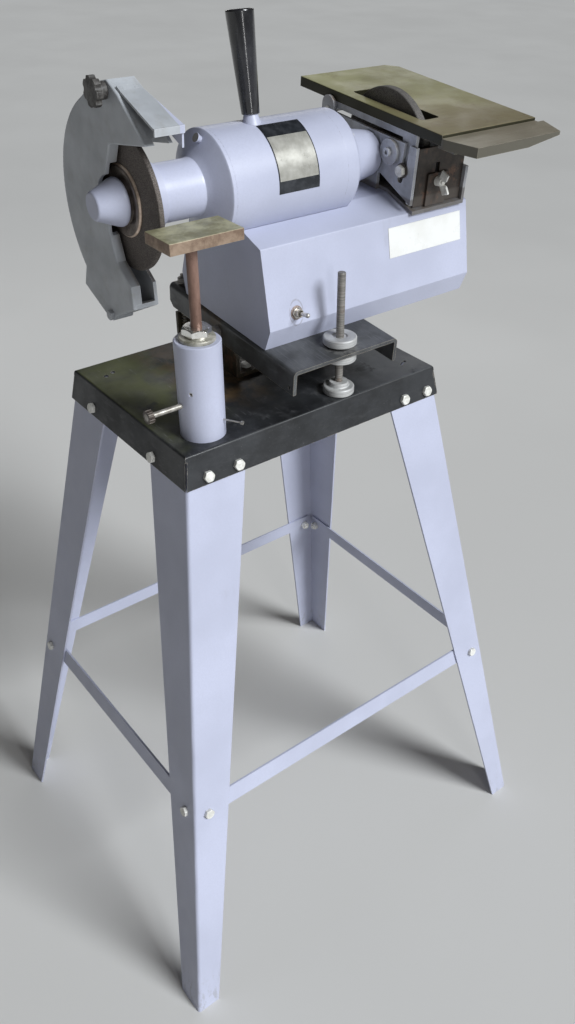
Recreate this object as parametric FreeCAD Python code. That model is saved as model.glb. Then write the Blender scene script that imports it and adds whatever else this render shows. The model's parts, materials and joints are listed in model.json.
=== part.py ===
import FreeCAD, Part
import math
import os

# Saw sharpening machine on its own splayed stand: a rocking head carries a double-ended
# grinding motor, with a guarded wheel on the left and a small saw table on the right.
# Millimetres, +Z up, floor at Z = 0. The motor's shaft runs along X and the operator
# stands on the -Y side. Stand pieces are given from the middle of the tray; the head is
# built level in its own frame and then pitched about X into the pose it is used in.

os.makedirs("parts", exist_ok=True)
V = FreeCAD.Vector
X_AXIS = V(1, 0, 0)
Y_AXIS = V(0, 1, 0)
Z_AXIS = V(0, 0, 1)

# Stand
stand_height = 838.0
tray_width = 390.0
tray_depth = 272.0
tray_sheet = 2.5
tray_flange = 41.0
tray_bend = 3.5
splay_out_x = 142.0
splay_out_y = 156.0
leg_sheet = 3.0
leg_flange_top = 84.0
leg_front_flange_foot = 35.0
leg_side_flange_foot = 46.0
leg_bend = 5.0
sheet_gap = 0.1
brace_middle_z = 345.0
brace_height = 27.0
brace_sheet = 3.0
brace_end_gap = 8.0
corner_seam = 2.2
tray_spare_holes = ((-170.0, 96.0), (-158.0, 101.0))
spare_hole_r = 3.2
tray_slot_at = (167.5, -106.0)
tray_slot_size = (15.0, 4.0)
tray_slot_turn = 25.0

# Fasteners
bolt_r = 3.95
bolt_head_flat = 12.7
bolt_head_height = 5.0
nut_height = 6.7
hole_gap = 0.3
thread_gap = 0.1
tray_bolt_drop = 31.0
tray_bolt_front_x = (-170.0, -127.5, 139.5, 180.0)
tray_bolt_side_y = (-67.0, 83.0)
brace_bolt_z = 341.0
brace_bolt_inset = 25.0
bolt_spare = 3.0

# Rest post and tool rest
post_x = -146.5
post_y = -98.5
post_r = 27.0
post_height = 118.5
rod_r = 6.35
rod_fit = 0.05
rod_hidden = 54.0
post_washer_r = 21.0
post_washer_height = 4.5
post_washer_round = 1.5
collar_r = 14.0
collar_height = 2.6
gland_nut_flat = 29.5
gland_nut_height = 8.2
gland_nut_turn = 40.0
rest_length = 90.0
rest_width = 49.0
rest_thick = 12.7
rest_top_z = 240.0
rest_off_x = 4.5
rest_off_y = -2.0
thumb_z = 43.0
thumb_shank_r = 3.2
thumb_reach = 38.0
thumb_head_r = 8.0
thumb_head_height = 7.0
set_screw_z = 62.0
set_screw_r = 2.6
set_screw_out = (-0.827, -0.563)
post_pin_z = 22.0
post_pin_r = 1.0
post_pin_out = (0.537, -0.844)
post_pin_reach = 22.0
post_pin_head_r = 2.4
post_pin_head = 3.0
post_screw_pitch = 18.0
post_screw_r = 3.0
post_screw_depth = 14.0
pan_head_height = 4.5

# Stop rod with its two stop nuts
stop_x = 45.7
stop_y = -116.2
stop_rod_r = 5.0
stop_rod_top = 157.6
stop_nut_r = 21.2
stop_nut_height = 10.2
upper_nut_z = 67.0
lower_nut_z = 45.7
base_nut_r = 20.0
base_nut_height = 10.0
base_hub_r = 13.0
base_hub_height = 5.5
nut_chamfer = 1.4
running_gap = 0.05

# Rocking pivot and its springs
head_pitch = 4.6
head_y = -141.4
head_z = 62.9
pivot_y = 160.0
pivot_z = -19.0
pivot_pin_r = 5.0
pan_sheet = 5.0
pan_front_y = -10.0
pan_side_end_y = 112.0
pan_rear_y = 131.5
pan_rear_height = 42.0
ear_r = 11.0
pan_side_gap = 1.9
pan_screw_r = 4.0
pan_screw_in = 24.0
stud_r = 2.4
stud_in = 8.4
stud_y = 123.0
stud_top_z = 98.0
spring_r = 3.6
spring_wire_r = 0.8
spring_turns = 17
spring_seat = 0.3

# Channel under the head
channel_left = -44.2
channel_width = 164.4
channel_length = 277.0
channel_flange = 32.0
channel_sheet = 4.8
channel_bend = 6.5
rod_slot_width = 12.0
rod_slot_from = 10.5
rod_slot_to = 33.5
stud_slot_width = 6.6
stud_slot_from = 257.0
stud_slot_to = 269.5
flange_corner = 8.0
base_screw_r = 3.0

# Motor base housing
house_left = -42.0
house_length = 334.0
house_sheet = 2.0
house_foot_y = 61.3
house_wide_y = 52.2
house_wide_z = 27.8
house_top_y = 76.4
house_top_z = 121.0
house_deck_y = 121.9
house_deck_z = 133.1
house_middle_y = 149.5
base_sheet = 2.5
base_gap = 0.3
switch_x = -1.0
switch_up = 14.5
switch_washer_r = 8.6
switch_washer = 0.8
switch_neck_r = 4.9
switch_nut_flat = 12.5
switch_ball_r = 3.0
label_x = 216.0
label_up = 65.5
label_w = 127.0
label_h = 37.5

# Motor
axis_y = 157.0
axis_z = 173.3
motor_r = 60.8
motor_wall = 3.2
motor_left = -65.6
motor_right = 99.7
snout_r = 31.9
snout_left = -146.0
right_snout_r = 27.3
right_snout_end = 181.5
right_band_end = 116.5
right_band_round = 5.5
right_face_x = 123.0
right_face_r = 42.0
right_neck_x = 132.0
right_neck_r = 36.0
shaft_r = 7.95
bearing_r = 20.0
bearing_width = 12.0
left_bearing_x = -142.0
right_bearing_x = 163.0
rotor_r = 30.0
rotor_left = -28.0
rotor_right = 52.0
air_gap = 0.6
saddle_thick = 8.0
saddle_width = 70.0
saddle_left_x = -24.0
saddle_right_x = 66.0
nameplate_left = -2.4
nameplate_right = 55.6
nameplate_from = 101.5
nameplate_to = 182.0
shoulder_x = -76.0
shoulder_r = 40.0
oil_cup_along = 0.42
oil_cup_angle = 91.0
oil_cup_r = 4.2
oil_cup_in = 5.0
oil_cup_out = 4.0
oil_lid_r = 5.2
oil_lid = 2.0
body_gap = 0.3
bell_screw_ring = 48.0
bell_screw_head_r = 4.0
bell_screw_head = 4.1

# Left wheel, flanges, nose cone
wheel_r = 75.0
wheel_left = -166.5
wheel_thick = 6.2
flange_r = 38.7
flange_thick = 3.5
cone_back_x = -171.5
cone_tip_x = -204.7
cone_r = 26.0
cone_tip_r = 14.7

# Left guard
guard_face_x = -182.0
guard_cover_t = 4.0
guard_back_x = -154.0
guard_back_t = 4.0
guard_wall = 4.0
guard_lip = 7.6
hub_ring_r = 35.5
hub_ring_end = -131.6
cone_notch_r = 29.0
knob_y = -5.0
knob_z = 115.0
knob_r = 15.0
knob_lobes = 7
knob_hub_r = 8.5
knob_hub = 8.7
knob_disc = 7.0
knob_stud_r = 4.0
guard_peak = (-8.3, 125.7)
guard_brow = (-28.8, 117.0)
hinge_y = 19.0
hinge_z = -139.5
hinge_lug_r = 7.0
hinge_lug_end = -158.0
hinge_bolt_r = 3.0
visor_sheet = 2.65
visor_gap = 0.3
visor_overlap = 7.0
visor_left = -178.0
visor_right_rear = -152.0
visor_right_front = -144.0
visor_front_y = -89.5
visor_front_z = 98.6
visor_taper_y = -28.0
visor_lip_z = 93.5
visor_lip = 2.5
rivet_r = 2.0
rivet_x = (-172.0, -158.0)

# Right wheel, bracket and saw table
right_wheel_r = 74.5
right_wheel_x = 211.0
right_wheel_thick = 12.0
right_flange_r = 25.0
right_flange_thick = 4.0
shaft_right_end = 246.0
bracket_sheet = 4.6
bracket_left_x = 183.0
bracket_right_x = 276.0
bracket_front_y = 71.0
bracket_top_z = 203.0
bracket_low_z = 168.0
bracket_lift_front_z = 132.8
bracket_lift_z = 155.5
bracket_lift_y = 129.0
bracket_step_y = 136.0
floor_inset = 6.0
floor_rear_y = 192.0
wheel_well = 4.5
shield_y = 76.0
shield_sheet = 3.2
bracket_screw_r = 2.6
wing_x = 229.0
wing_z = 157.0
wing_turn = 100.0
table_left = 187.9
table_width = 164.5
table_front = 37.0
table_length = 272.0
table_top = 227.7
table_thick = 12.5
table_bevel = 15.0
slot_left = 206.0
slot_right = 236.0
slot_front = 91.0
slot_rear = 222.5
tilt_y = 243.0
tilt_z = 203.5
tilt_pin_r = 4.5
arm_sheet = 4.6
arm_gap = 0.35
arm_low = 207.5
right_boss_r = 9.0
left_boss_r = 12.0
left_boss_top = 221.0
clamp_y = 91.0
clamp_z = 171.0
disc_y = 115.5
disc_z = 187.0
disc_r = 15.3
rail_width = 39.9
rail_shoulder = 5.0
rail_overhang = 10.5
rail_thick = 12.0
rail_drop = 3.7

# Handle
handle_lean = 13.5
handle_length = 104.5
handle_top_r = 15.8
handle_round = 2.5
handle_boss = 8.0
handle_boss_r = 8.0
handle_boss_foot_r = 10.4
handle_foot_r = 10.4
handle_stud_r = 5.0

foot_half_x = tray_width / 2 + splay_out_x - tray_sheet - sheet_gap
rail_right = table_left + table_width + rail_overhang
origin_x = (rail_right - foot_half_x) / 2
head_place = FreeCAD.Placement(
    V(0, head_y, stand_height + head_z),
    FreeCAD.Rotation(X_AXIS, head_pitch),
)


# Basic solids

def box(x0, x1, y0, y1, z0, z1):
    return Part.makeBox(x1 - x0, y1 - y0, z1 - z0, V(x0, y0, z0))


def rod(start, direction, radius, length):
    return Part.makeCylinder(radius, length, start, direction)


def tube(start, direction, radius, bore, length):
    return rod(start, direction, radius, length).cut(rod(start, direction, bore, length))


def polygon(points):
    return Part.makePolygon(list(points) + [points[0]])


def rectangle(x0, x1, y0, y1, z):
    return polygon([V(x0, y0, z), V(x1, y0, z), V(x1, y1, z), V(x0, y1, z)])


def prism_x(points, x0, x1):
    """Solid with the given (y, z) outline from x0 to x1."""
    face = Part.Face(polygon([V(x0, y, z) for y, z in points]))
    return face.extrude(V(x1 - x0, 0, 0))


def prism_y(points, y0, y1):
    """Solid with the given (x, z) outline from y0 to y1."""
    face = Part.Face(polygon([V(x, y0, z) for x, z in points]))
    return face.extrude(V(0, y1 - y0, 0))


def prism_z(points, z0, z1):
    """Solid with the given (x, y) outline from z0 to z1."""
    face = Part.Face(polygon([V(x, y, z0) for x, y in points]))
    return face.extrude(V(0, 0, z1 - z0))


def turn_x(profile, cy, cz):
    """Solid of revolution about the X line through (cy, cz) from (x, radius) points."""
    face = Part.Face(polygon([V(x, cy, cz + r) for x, r in profile]))
    return face.revolve(V(0, cy, cz), X_AXIS, 360)


def turn_z(profile, cx, cy):
    """Solid of revolution about the Z line through (cx, cy) from (radius, z) points."""
    face = Part.Face(polygon([V(cx + r, cy, z) for r, z in profile]))
    return face.revolve(V(cx, cy, 0), Z_AXIS, 360)


def hexagon(start, direction, flats, height, turn=0.0):
    """Hexagonal prism that grows from start along direction."""
    radius = flats / math.sqrt(3)
    points = []
    for step in range(6):
        angle = math.radians(60 * step + turn)
        points.append(V(radius * math.cos(angle), radius * math.sin(angle), 0))
    solid = Part.Face(polygon(points)).extrude(V(0, 0, height))
    solid.Placement = FreeCAD.Placement(start, FreeCAD.Rotation(Z_AXIS, direction))
    return solid


def hex_head(start, direction, flats, height, turn=0.0):
    """Hexagon with its outer corners turned off in a lathe."""
    blank = hexagon(start, direction, flats, height, turn)
    corner_r = flats / math.sqrt(3)
    cone = Part.makeCone(corner_r + height * 0.9, flats * 0.47, height, start, direction)
    return blank.common(cone)


def fuse_all(shapes):
    result = shapes[0]
    for shape in shapes[1:]:
        result = result.fuse(shape)
    return result.removeSplitter()


def cut_all(shape, tools):
    for tool in tools:
        shape = shape.cut(tool)
    return shape


def slot_z(x, y0, y1, width, z0, z1):
    """Upright slot with round ends that runs along Y."""
    r = width / 2
    middle = box(x - r, x + r, y0 + r, y1 - r, z0, z1)
    ends = [rod(V(x, y, z0), Z_AXIS, r, z1 - z0) for y in (y0 + r, y1 - r)]
    return fuse_all([middle] + ends)


def edge_between(shape, p, q):
    """The straight edge of shape that joins the points p and q."""
    for edge in shape.Edges:
        ends = [v.Point for v in edge.Vertexes]
        if len(ends) == 2:
            here = ends[0].distanceToPoint(p) + ends[1].distanceToPoint(q)
            there = ends[0].distanceToPoint(q) + ends[1].distanceToPoint(p)
            if min(here, there) < 0.01:
                return edge
    raise ValueError("no such edge")


def edges_where(shape, test):
    return [e for e in shape.Edges if all(test(v.Point) for v in e.Vertexes)]


nodes = {}


def emit(name, solids):
    """Adds solids to one node. Small pieces of one kind share a node."""
    nodes.setdefault(name, []).extend(solids)


def emit_head(name, solids):
    """Adds solids of the head, pitched into its working pose."""
    for solid in solids:
        copy = solid.copy()
        copy.Placement = head_place.multiply(copy.Placement)
        emit(name, [copy])


def write_nodes():
    """Writes every node, moved so that X is counted from the object's middle."""
    for name, solids in nodes.items():
        group = Part.makeCompound(solids) if len(solids) > 1 else solids[0].copy()
        group.translate(V(-origin_x, 0, 0))
        group.exportStep("parts/" + name + ".step")


# Splayed faces shared by the tray, the legs and the braces

def half_x(z):
    return tray_width / 2 + splay_out_x * (stand_height - z) / stand_height


def half_y(z):
    return tray_depth / 2 + splay_out_y * (stand_height - z) / stand_height


lean_x = math.atan(splay_out_x / stand_height)
lean_y = math.atan(splay_out_y / stand_height)
leg_inset = tray_sheet + sheet_gap
brace_inset = leg_inset + leg_sheet + sheet_gap


def frustum(z0, z1, inset):
    """Solid between two heights whose sides follow the splay, drawn in by inset."""
    wires = []
    for z in (z0, z1):
        x = half_x(z) - inset
        y = half_y(z) - inset
        wires.append(polygon([V(-x, -y, z), V(x, -y, z), V(x, y, z), V(-x, y, z)]))
    return Part.makeLoft(wires, True, True)


def on_front(side, x, z, inset):
    """Point on the front (side -1) or rear (side 1) face, and its outward normal."""
    point = V(x, side * (half_y(z) - inset), z)
    return point, V(0, side * math.cos(lean_y), math.sin(lean_y))


def on_side(side, y, z, inset):
    """Point on the left (side -1) or right (side 1) face, and its outward normal."""
    point = V(side * (half_x(z) - inset), y, z)
    return point, V(side * math.cos(lean_x), 0, math.sin(lean_x))


tray_bolt_z = stand_height - tray_bolt_drop
tray_places = []
for side in (-1, 1):
    for x in tray_bolt_front_x:
        tray_places.append(on_front(side, x, tray_bolt_z, 0))
    for y in tray_bolt_side_y:
        tray_places.append(on_side(side, y, tray_bolt_z, 0))

brace_places = []
for side in (-1, 1):
    for end in (-1, 1):
        x = end * (half_x(brace_bolt_z) - brace_bolt_inset)
        y = end * (half_y(brace_bolt_z) - brace_bolt_inset)
        brace_places.append(on_front(side, x, brace_bolt_z, leg_inset))
        brace_places.append(on_side(side, y, brace_bolt_z, leg_inset))


def bolt_hole(place):
    point, out = place
    return rod(point + out * 10, out * -1, bolt_r + hole_gap, 30)


def bolt_and_nut(place, grip):
    """Hex bolt with its head on the outer face and its nut inside."""
    point, out = place
    shank = rod(point, out * -1, bolt_r, grip + nut_height + bolt_spare)
    head = hex_head(point, out, bolt_head_flat, bolt_head_height)
    inner = point - out * (grip + sheet_gap)
    nut = hexagon(inner, out * -1, bolt_head_flat, nut_height)
    nut = nut.cut(rod(inner, out * -1, bolt_r + thread_gap, nut_height))
    return fuse_all([shank, head]), nut


def make_stand():
    outer = frustum(stand_height - tray_flange, stand_height, 0)
    top_edges = edges_where(outer, lambda p: p.z > stand_height - 0.01)
    outer = outer.makeFillet(tray_bend, top_edges)
    inner = frustum(stand_height - tray_flange - 1, stand_height - tray_sheet, tray_sheet)
    tray = outer.cut(inner)
    for sx in (-1, 1):
        for sy in (-1, 1):
            seam = box(-14, 14, -corner_seam / 2, corner_seam / 2, 0, tray_flange)
            turn = FreeCAD.Rotation(Z_AXIS, 45 * sx * sy)
            low = stand_height - tray_flange - tray_sheet - 4
            seam.Placement = FreeCAD.Placement(V(sx * half_x(low), sy * half_y(low), low), turn)
            tray = tray.cut(seam)
    holes = [bolt_hole(place) for place in tray_places]
    tray = cut_all(tray, holes)
    tray = tray.cut(rod(V(stop_x, stop_y, stand_height - 20), Z_AXIS, stop_rod_r + hole_gap, 40))
    tray = tray.cut(tray_slot())
    for x, y in tray_spare_holes:
        tray = tray.cut(rod(V(x, y, stand_height - 20), Z_AXIS, spare_hole_r, 40))
    for point in screw_ring(post_x, post_y, post_screw_pitch, 3):
        low = point + V(0, 0, stand_height - 20)
        tray = tray.cut(rod(low, Z_AXIS, post_screw_r + hole_gap, 40))
    for point in pan_screw_points():
        low = point + V(0, 0, stand_height - 20)
        tray = tray.cut(rod(low, Z_AXIS, pan_screw_r + hole_gap, 40))
    emit("tray", [tray])

    brace_holes = [bolt_hole(place) for place in brace_places]
    for sx, sy in ((-1, -1), (1, -1), (-1, 1), (1, 1)):
        leg = make_leg(sx, sy)
        emit("stand_legs", [cut_all(leg, holes + brace_holes)])

    low = brace_middle_z - brace_height / 2
    high = brace_middle_z + brace_height / 2
    reach_x = half_x(high) - brace_inset - brace_end_gap
    reach_y = half_y(high) - brace_inset - brace_end_gap
    for side in (-1, 1):
        front_wires = []
        side_wires = []
        for z in (low, high):
            y0 = side * (half_y(z) - brace_inset)
            y1 = y0 - side * brace_sheet
            x0 = side * (half_x(z) - brace_inset)
            x1 = x0 - side * brace_sheet
            front_wires.append(rectangle(-reach_x, reach_x, y0, y1, z))
            side_wires.append(rectangle(x0, x1, -reach_y, reach_y, z))
        for wires in (front_wires, side_wires):
            emit("stand_braces", [cut_all(Part.makeLoft(wires, True, True), brace_holes)])

    bolts = [bolt_and_nut(place, tray_sheet + leg_sheet + sheet_gap) for place in tray_places]
    emit("stand_bolts", [pair[0] for pair in bolts])
    emit("stand_nuts", [pair[1] for pair in bolts])
    bolts = [bolt_and_nut(place, leg_sheet + brace_sheet + sheet_gap) for place in brace_places]
    emit("stand_bolts", [pair[0] for pair in bolts])
    emit("stand_nuts", [pair[1] for pair in bolts])


def make_leg(sx, sy):
    """Tapered angle-section leg, bent from sheet along its outer corner."""
    top = stand_height - tray_sheet - tray_bend
    wires = []
    for z, front, side in (
        (0.0, leg_front_flange_foot, leg_side_flange_foot),
        (top, leg_flange_top, leg_flange_top),
    ):
        x = half_x(z) - leg_inset
        y = half_y(z) - leg_inset
        t = leg_sheet
        outline = [
            (x, y),
            (x - front, y),
            (x - front, y - t),
            (x - t, y - t),
            (x - t, y - side),
            (x, y - side),
        ]
        wires.append(polygon([V(sx * px, sy * py, z) for px, py in outline]))
    leg = Part.makeLoft(wires, True, True)
    foot = V(sx * (half_x(0) - leg_inset), sy * (half_y(0) - leg_inset), 0)
    head = V(sx * (half_x(top) - leg_inset), sy * (half_y(top) - leg_inset), top)
    return leg.makeFillet(leg_bend, [edge_between(leg, foot, head)])


def screw_ring(cx, cy, pitch_r, count):
    """Points at equal angles on a circle, at Z = 0."""
    points = []
    for step in range(count):
        angle = math.radians(90 + 360 * step / count)
        points.append(V(cx + pitch_r * math.cos(angle), cy + pitch_r * math.sin(angle), 0))
    return points


def tray_slot():
    """Narrow upright slot through the tray's top."""
    length, width = tray_slot_size
    cx, cy = tray_slot_at
    solid = box(-length / 2, length / 2, -width / 2, width / 2, -20, 20)
    turn = FreeCAD.Rotation(Z_AXIS, tray_slot_turn)
    solid.Placement = FreeCAD.Placement(V(cx, cy, stand_height), turn)
    return solid


def pan_screw_points():
    left = channel_left + channel_sheet + pan_side_gap + pan_screw_in
    right = channel_left + channel_width - channel_sheet - pan_side_gap - pan_screw_in
    rows = (pan_front_y + 14, pan_rear_y - 22)
    return [V(x, y, 0) for x in (left, right) for y in rows]


def make_post():
    base = stand_height
    post = rod(V(post_x, post_y, base), Z_AXIS, post_r, post_height)
    rim = [e for e in post.Edges if e.BoundBox.ZMin > base + post_height - 0.1]
    post = post.makeChamfer(1.2, rim)
    post = post.cut(rod(V(post_x, post_y, base - 1), Z_AXIS, rod_r + rod_fit, post_height + 2))
    thumb_at = V(post_x, post_y, base + thumb_z)
    post = post.cut(rod(thumb_at, V(-1, 0, 0), thumb_shank_r + thread_gap, post_r + 2))
    pin_out = V(post_pin_out[0], post_pin_out[1], 0)
    pin_at = V(post_x, post_y, base + post_pin_z)
    post = post.cut(rod(pin_at, pin_out, post_pin_r + thread_gap, post_r + 2))
    set_at = V(post_x, post_y, base + set_screw_z)
    set_out = V(set_screw_out[0], set_screw_out[1], 0)
    post = post.cut(rod(set_at, set_out, set_screw_r + thread_gap, post_r + 2))
    screws = []
    for point in screw_ring(post_x, post_y, post_screw_pitch, 3):
        top = point + V(0, 0, base)
        post = post.cut(rod(top - V(0, 0, 1), Z_AXIS, post_screw_r + thread_gap, post_screw_depth + 3))
        shank = rod(top - V(0, 0, tray_sheet), Z_AXIS, post_screw_r, tray_sheet + post_screw_depth)
        low = top - V(0, 0, tray_sheet + pan_head_height)
        cap = rod(low, Z_AXIS, post_screw_r * 1.8, pan_head_height)
        screws.append(fuse_all([shank, cap]))
    emit("rest_post", [post])
    emit("tray_screws", screws)

    top = base + post_height
    washer = tube(V(post_x, post_y, top), Z_AXIS, post_washer_r, rod_r + 0.4, post_washer_height)
    upper = [e for e in washer.Edges if e.BoundBox.ZMin > top + 1 and e.BoundBox.XLength > 2 * rod_r + 2]
    washer = washer.makeFillet(post_washer_round, upper)
    top += post_washer_height
    collar = tube(V(post_x, post_y, top), Z_AXIS, collar_r, rod_r + 0.25, collar_height)
    top += collar_height
    nut = hex_head(V(post_x, post_y, top), Z_AXIS, gland_nut_flat, gland_nut_height, gland_nut_turn)
    nut = nut.cut(rod(V(post_x, post_y, top - 1), Z_AXIS, rod_r + 0.15, gland_nut_height + 2))
    emit("rest_post", [washer])
    emit("gland_nut", [fuse_all([collar, nut])])

    under = rest_top_z - rest_thick
    start = post_height - rod_hidden
    rest_rod = rod(V(post_x, post_y, base + start), Z_AXIS, rod_r, under - start)
    foot_rim = [e for e in rest_rod.Edges if e.BoundBox.ZMax < base + start + 0.1]
    emit("rest_rod", [rest_rod.makeChamfer(0.8, foot_rim)])
    cx = post_x + rest_off_x
    cy = post_y + rest_off_y
    half_l = rest_length / 2
    half_w = rest_width / 2
    high = base + rest_top_z
    plate = box(cx - half_l, cx + half_l, cy - half_w, cy + half_w, base + under, high)
    plate = plate.makeFillet(0.8, edges_where(plate, lambda p: p.z > high - 0.01))
    emit("rest_plate", [plate])

    inner = thumb_at - V(rod_r + rod_fit + 0.4, 0, 0)
    shank = rod(inner, V(-1, 0, 0), thumb_shank_r, post_r + thumb_reach - rod_r)
    tip = thumb_at - V(post_r + thumb_reach, 0, 0)
    head = rod(tip, V(-1, 0, 0), thumb_head_r, thumb_head_height)
    flutes = []
    for step in range(12):
        angle = math.radians(30 * step)
        offset = V(0, thumb_head_r * math.cos(angle), thumb_head_r * math.sin(angle)) * 1.04
        flutes.append(rod(tip + offset + V(1, 0, 0), V(-1, 0, 0), 1.2, thumb_head_height + 2))
    emit("thumb_screw", [fuse_all([shank, cut_all(head, flutes)])])
    pin = rod(pin_at + pin_out * (rod_r + 0.6), pin_out, post_pin_r, post_r - rod_r + post_pin_reach)
    pin_tip = pin_at + pin_out * (post_r + post_pin_reach)
    pin_head = rod(pin_tip, pin_out, post_pin_head_r, post_pin_head)
    emit("post_set_screws", [fuse_all([pin, pin_head])])
    plug = rod(set_at + set_out * (rod_r + 0.4), set_out, set_screw_r, post_r - rod_r - 1.6)
    socket = hexagon(set_at + set_out * (post_r - 5), set_out, 2.6, 6)
    emit("post_set_screws", [plug.cut(socket)])


def ring_nut(z0, radius, height, bore):
    """Round machined nut with turned-off rims and a shallow dish in its top."""
    c = nut_chamfer
    profile = [
        (bore, z0),
        (radius - c, z0),
        (radius, z0 + c),
        (radius, z0 + height - c),
        (radius - c, z0 + height),
        (radius * 0.46, z0 + height),
        (radius * 0.40, z0 + height - 2.0),
        (bore, z0 + height - 2.0),
    ]
    return turn_z(profile, stop_x, stop_y)


def make_stop_rod():
    base = stand_height
    bore = stop_rod_r + running_gap
    low = base - tray_sheet - 11
    stop = rod(V(stop_x, stop_y, low), Z_AXIS, stop_rod_r, base + stop_rod_top - low)
    rims = [e for e in stop.Edges if e.BoundBox.ZLength < 0.1]
    emit("stop_rod", [stop.makeChamfer(0.8, rims)])
    under = hexagon(V(stop_x, stop_y, base - tray_sheet - 8), Z_AXIS, 17, 8)
    under = under.cut(rod(V(stop_x, stop_y, base - 20), Z_AXIS, bore, 30))
    emit("stop_rod_nuts", [under])
    c = nut_chamfer
    top = base + base_nut_height
    profile = [
        (bore, base),
        (base_nut_r - c, base),
        (base_nut_r, base + c),
        (base_nut_r, top - c),
        (base_nut_r - c, top),
        (base_hub_r + 1, top),
        (base_hub_r, top + 1),
        (base_hub_r - 1.2, top + base_hub_height),
        (bore, top + base_hub_height),
    ]
    emit("stop_rod_nuts", [turn_z(profile, stop_x, stop_y)])
    emit("lower_stop_nut", [ring_nut(base + lower_nut_z, stop_nut_r, stop_nut_height, bore)])
    emit("upper_stop_nut", [ring_nut(base + upper_nut_z, stop_nut_r, stop_nut_height, bore)])


def pivot_in_world():
    """The rocking axis, as (y, z) from the middle of the tray's top."""
    point = head_place.multVec(V(0, pivot_y, pivot_z))
    return point.y, point.z - stand_height


def stud_points():
    left = channel_left + channel_sheet + stud_in
    right = channel_left + channel_width - channel_sheet - stud_in
    return [V(left, stud_y, 0), V(right, stud_y, 0)]


def make_pivot():
    base = stand_height
    y, z = pivot_in_world()
    left = channel_left + channel_sheet + pan_side_gap
    right = channel_left + channel_width - channel_sheet - pan_side_gap
    floor = box(left, right, pan_front_y, pan_rear_y + pan_sheet, base, base + pan_sheet)
    rear = box(left, right, pan_rear_y, pan_rear_y + pan_sheet, base, base + pan_rear_height)
    side = [
        (pan_front_y, base),
        (pan_side_end_y, base),
        (pan_side_end_y, base + 26),
        (y + 36, base + 26),
        (y + ear_r, base + z),
        (y - ear_r, base + z),
        (pan_front_y, base + 26),
    ]
    pieces = [floor, rear]
    for x in (left, right - pan_sheet):
        pieces.append(prism_x(side, x, x + pan_sheet))
        pieces.append(rod(V(x, y, base + z), X_AXIS, ear_r, pan_sheet))
    pan = fuse_all(pieces)
    pan = pan.cut(rod(V(left - 1, y, base + z), X_AXIS, pivot_pin_r + thread_gap, right - left + 2))
    for point in stud_points():
        pan = pan.cut(rod(point + V(0, 0, base - 1), Z_AXIS, stud_r + thread_gap, pan_sheet + 2))
    screws = []
    for point in pan_screw_points():
        pan = pan.cut(rod(point + V(0, 0, base - 1), Z_AXIS, pan_screw_r + hole_gap, pan_sheet + 2))
        low = point + V(0, 0, base - tray_sheet - 9)
        shank = rod(low, Z_AXIS, pan_screw_r, 9 + tray_sheet + pan_sheet)
        head = hex_head(point + V(0, 0, base + pan_sheet), Z_AXIS, bolt_head_flat, bolt_head_height)
        screws.append(fuse_all([shank, head]))
        under = point + V(0, 0, base - tray_sheet - nut_height)
        nut = hexagon(under, Z_AXIS, bolt_head_flat, nut_height)
        screws.append(nut.cut(rod(low, Z_AXIS, pan_screw_r + thread_gap, 20)))
    emit("pivot_bracket", [pan])
    emit("tray_screws", screws)

    outer_left = channel_left - 0.4
    outer_right = channel_left + channel_width + 0.4
    pin = rod(V(outer_left, y, base + z), X_AXIS, pivot_pin_r, outer_right - outer_left + 12)
    head = hex_head(V(outer_left, y, base + z), V(-1, 0, 0), 16, 6)
    emit("pivot_pin", [fuse_all([pin, head])])
    nut = hexagon(V(outer_right + 0.2, y, base + z), X_AXIS, 16, 8)
    nut = nut.cut(rod(V(outer_right, y, base + z), X_AXIS, pivot_pin_r + thread_gap, 10))
    emit("pivot_pin", [nut])

    studs = []
    nuts = []
    for point in stud_points():
        top_z = spring_top(point) + channel_sheet + 2.2
        studs.append(rod(point + V(0, 0, base + sheet_gap), Z_AXIS, stud_r, stud_top_z - sheet_gap))
        washer = tube(point + V(0, 0, base + top_z), Z_AXIS, 7.0, stud_r + thread_gap, 1.2)
        nut = hex_head(point + V(0, 0, base + top_z + 1.2), Z_AXIS, 11.0, 6.0, 20)
        nut = nut.cut(rod(point + V(0, 0, base), Z_AXIS, stud_r + thread_gap, stud_top_z + 20))
        nuts.append(fuse_all([washer, nut]))
    emit("spring_studs", studs)
    emit("spring_studs", nuts)


def spring_top(point):
    """Height over the tray of the channel's underside at a spring."""
    along = (point.y - head_y) / math.cos(math.radians(head_pitch))
    return head_z + along * math.sin(math.radians(head_pitch)) - channel_sheet


# Compression springs: each is one round wire swept along biarcs, two to a turn

def arc_edge(start, tangent, end):
    """Circular arc from start, leaving along tangent, that ends at end."""
    chord = end - start
    half = chord.getAngle(tangent)
    radius = chord.Length / (2 * math.sin(half))
    side = (chord - tangent * chord.dot(tangent)).normalize()
    centre = start + side * radius
    middle = start + chord * 0.5
    crown = centre + (middle - centre).normalize() * radius
    return Part.Arc(start, crown, end).toShape()


def helix_point(centre, angle, z):
    return V(centre.x + spring_r * math.cos(angle), centre.y + spring_r * math.sin(angle), z)


def helix_tangent(angle, pitch):
    rise = pitch / (2 * math.pi * spring_r)
    return V(-math.sin(angle), math.cos(angle), rise).normalize()


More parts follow.
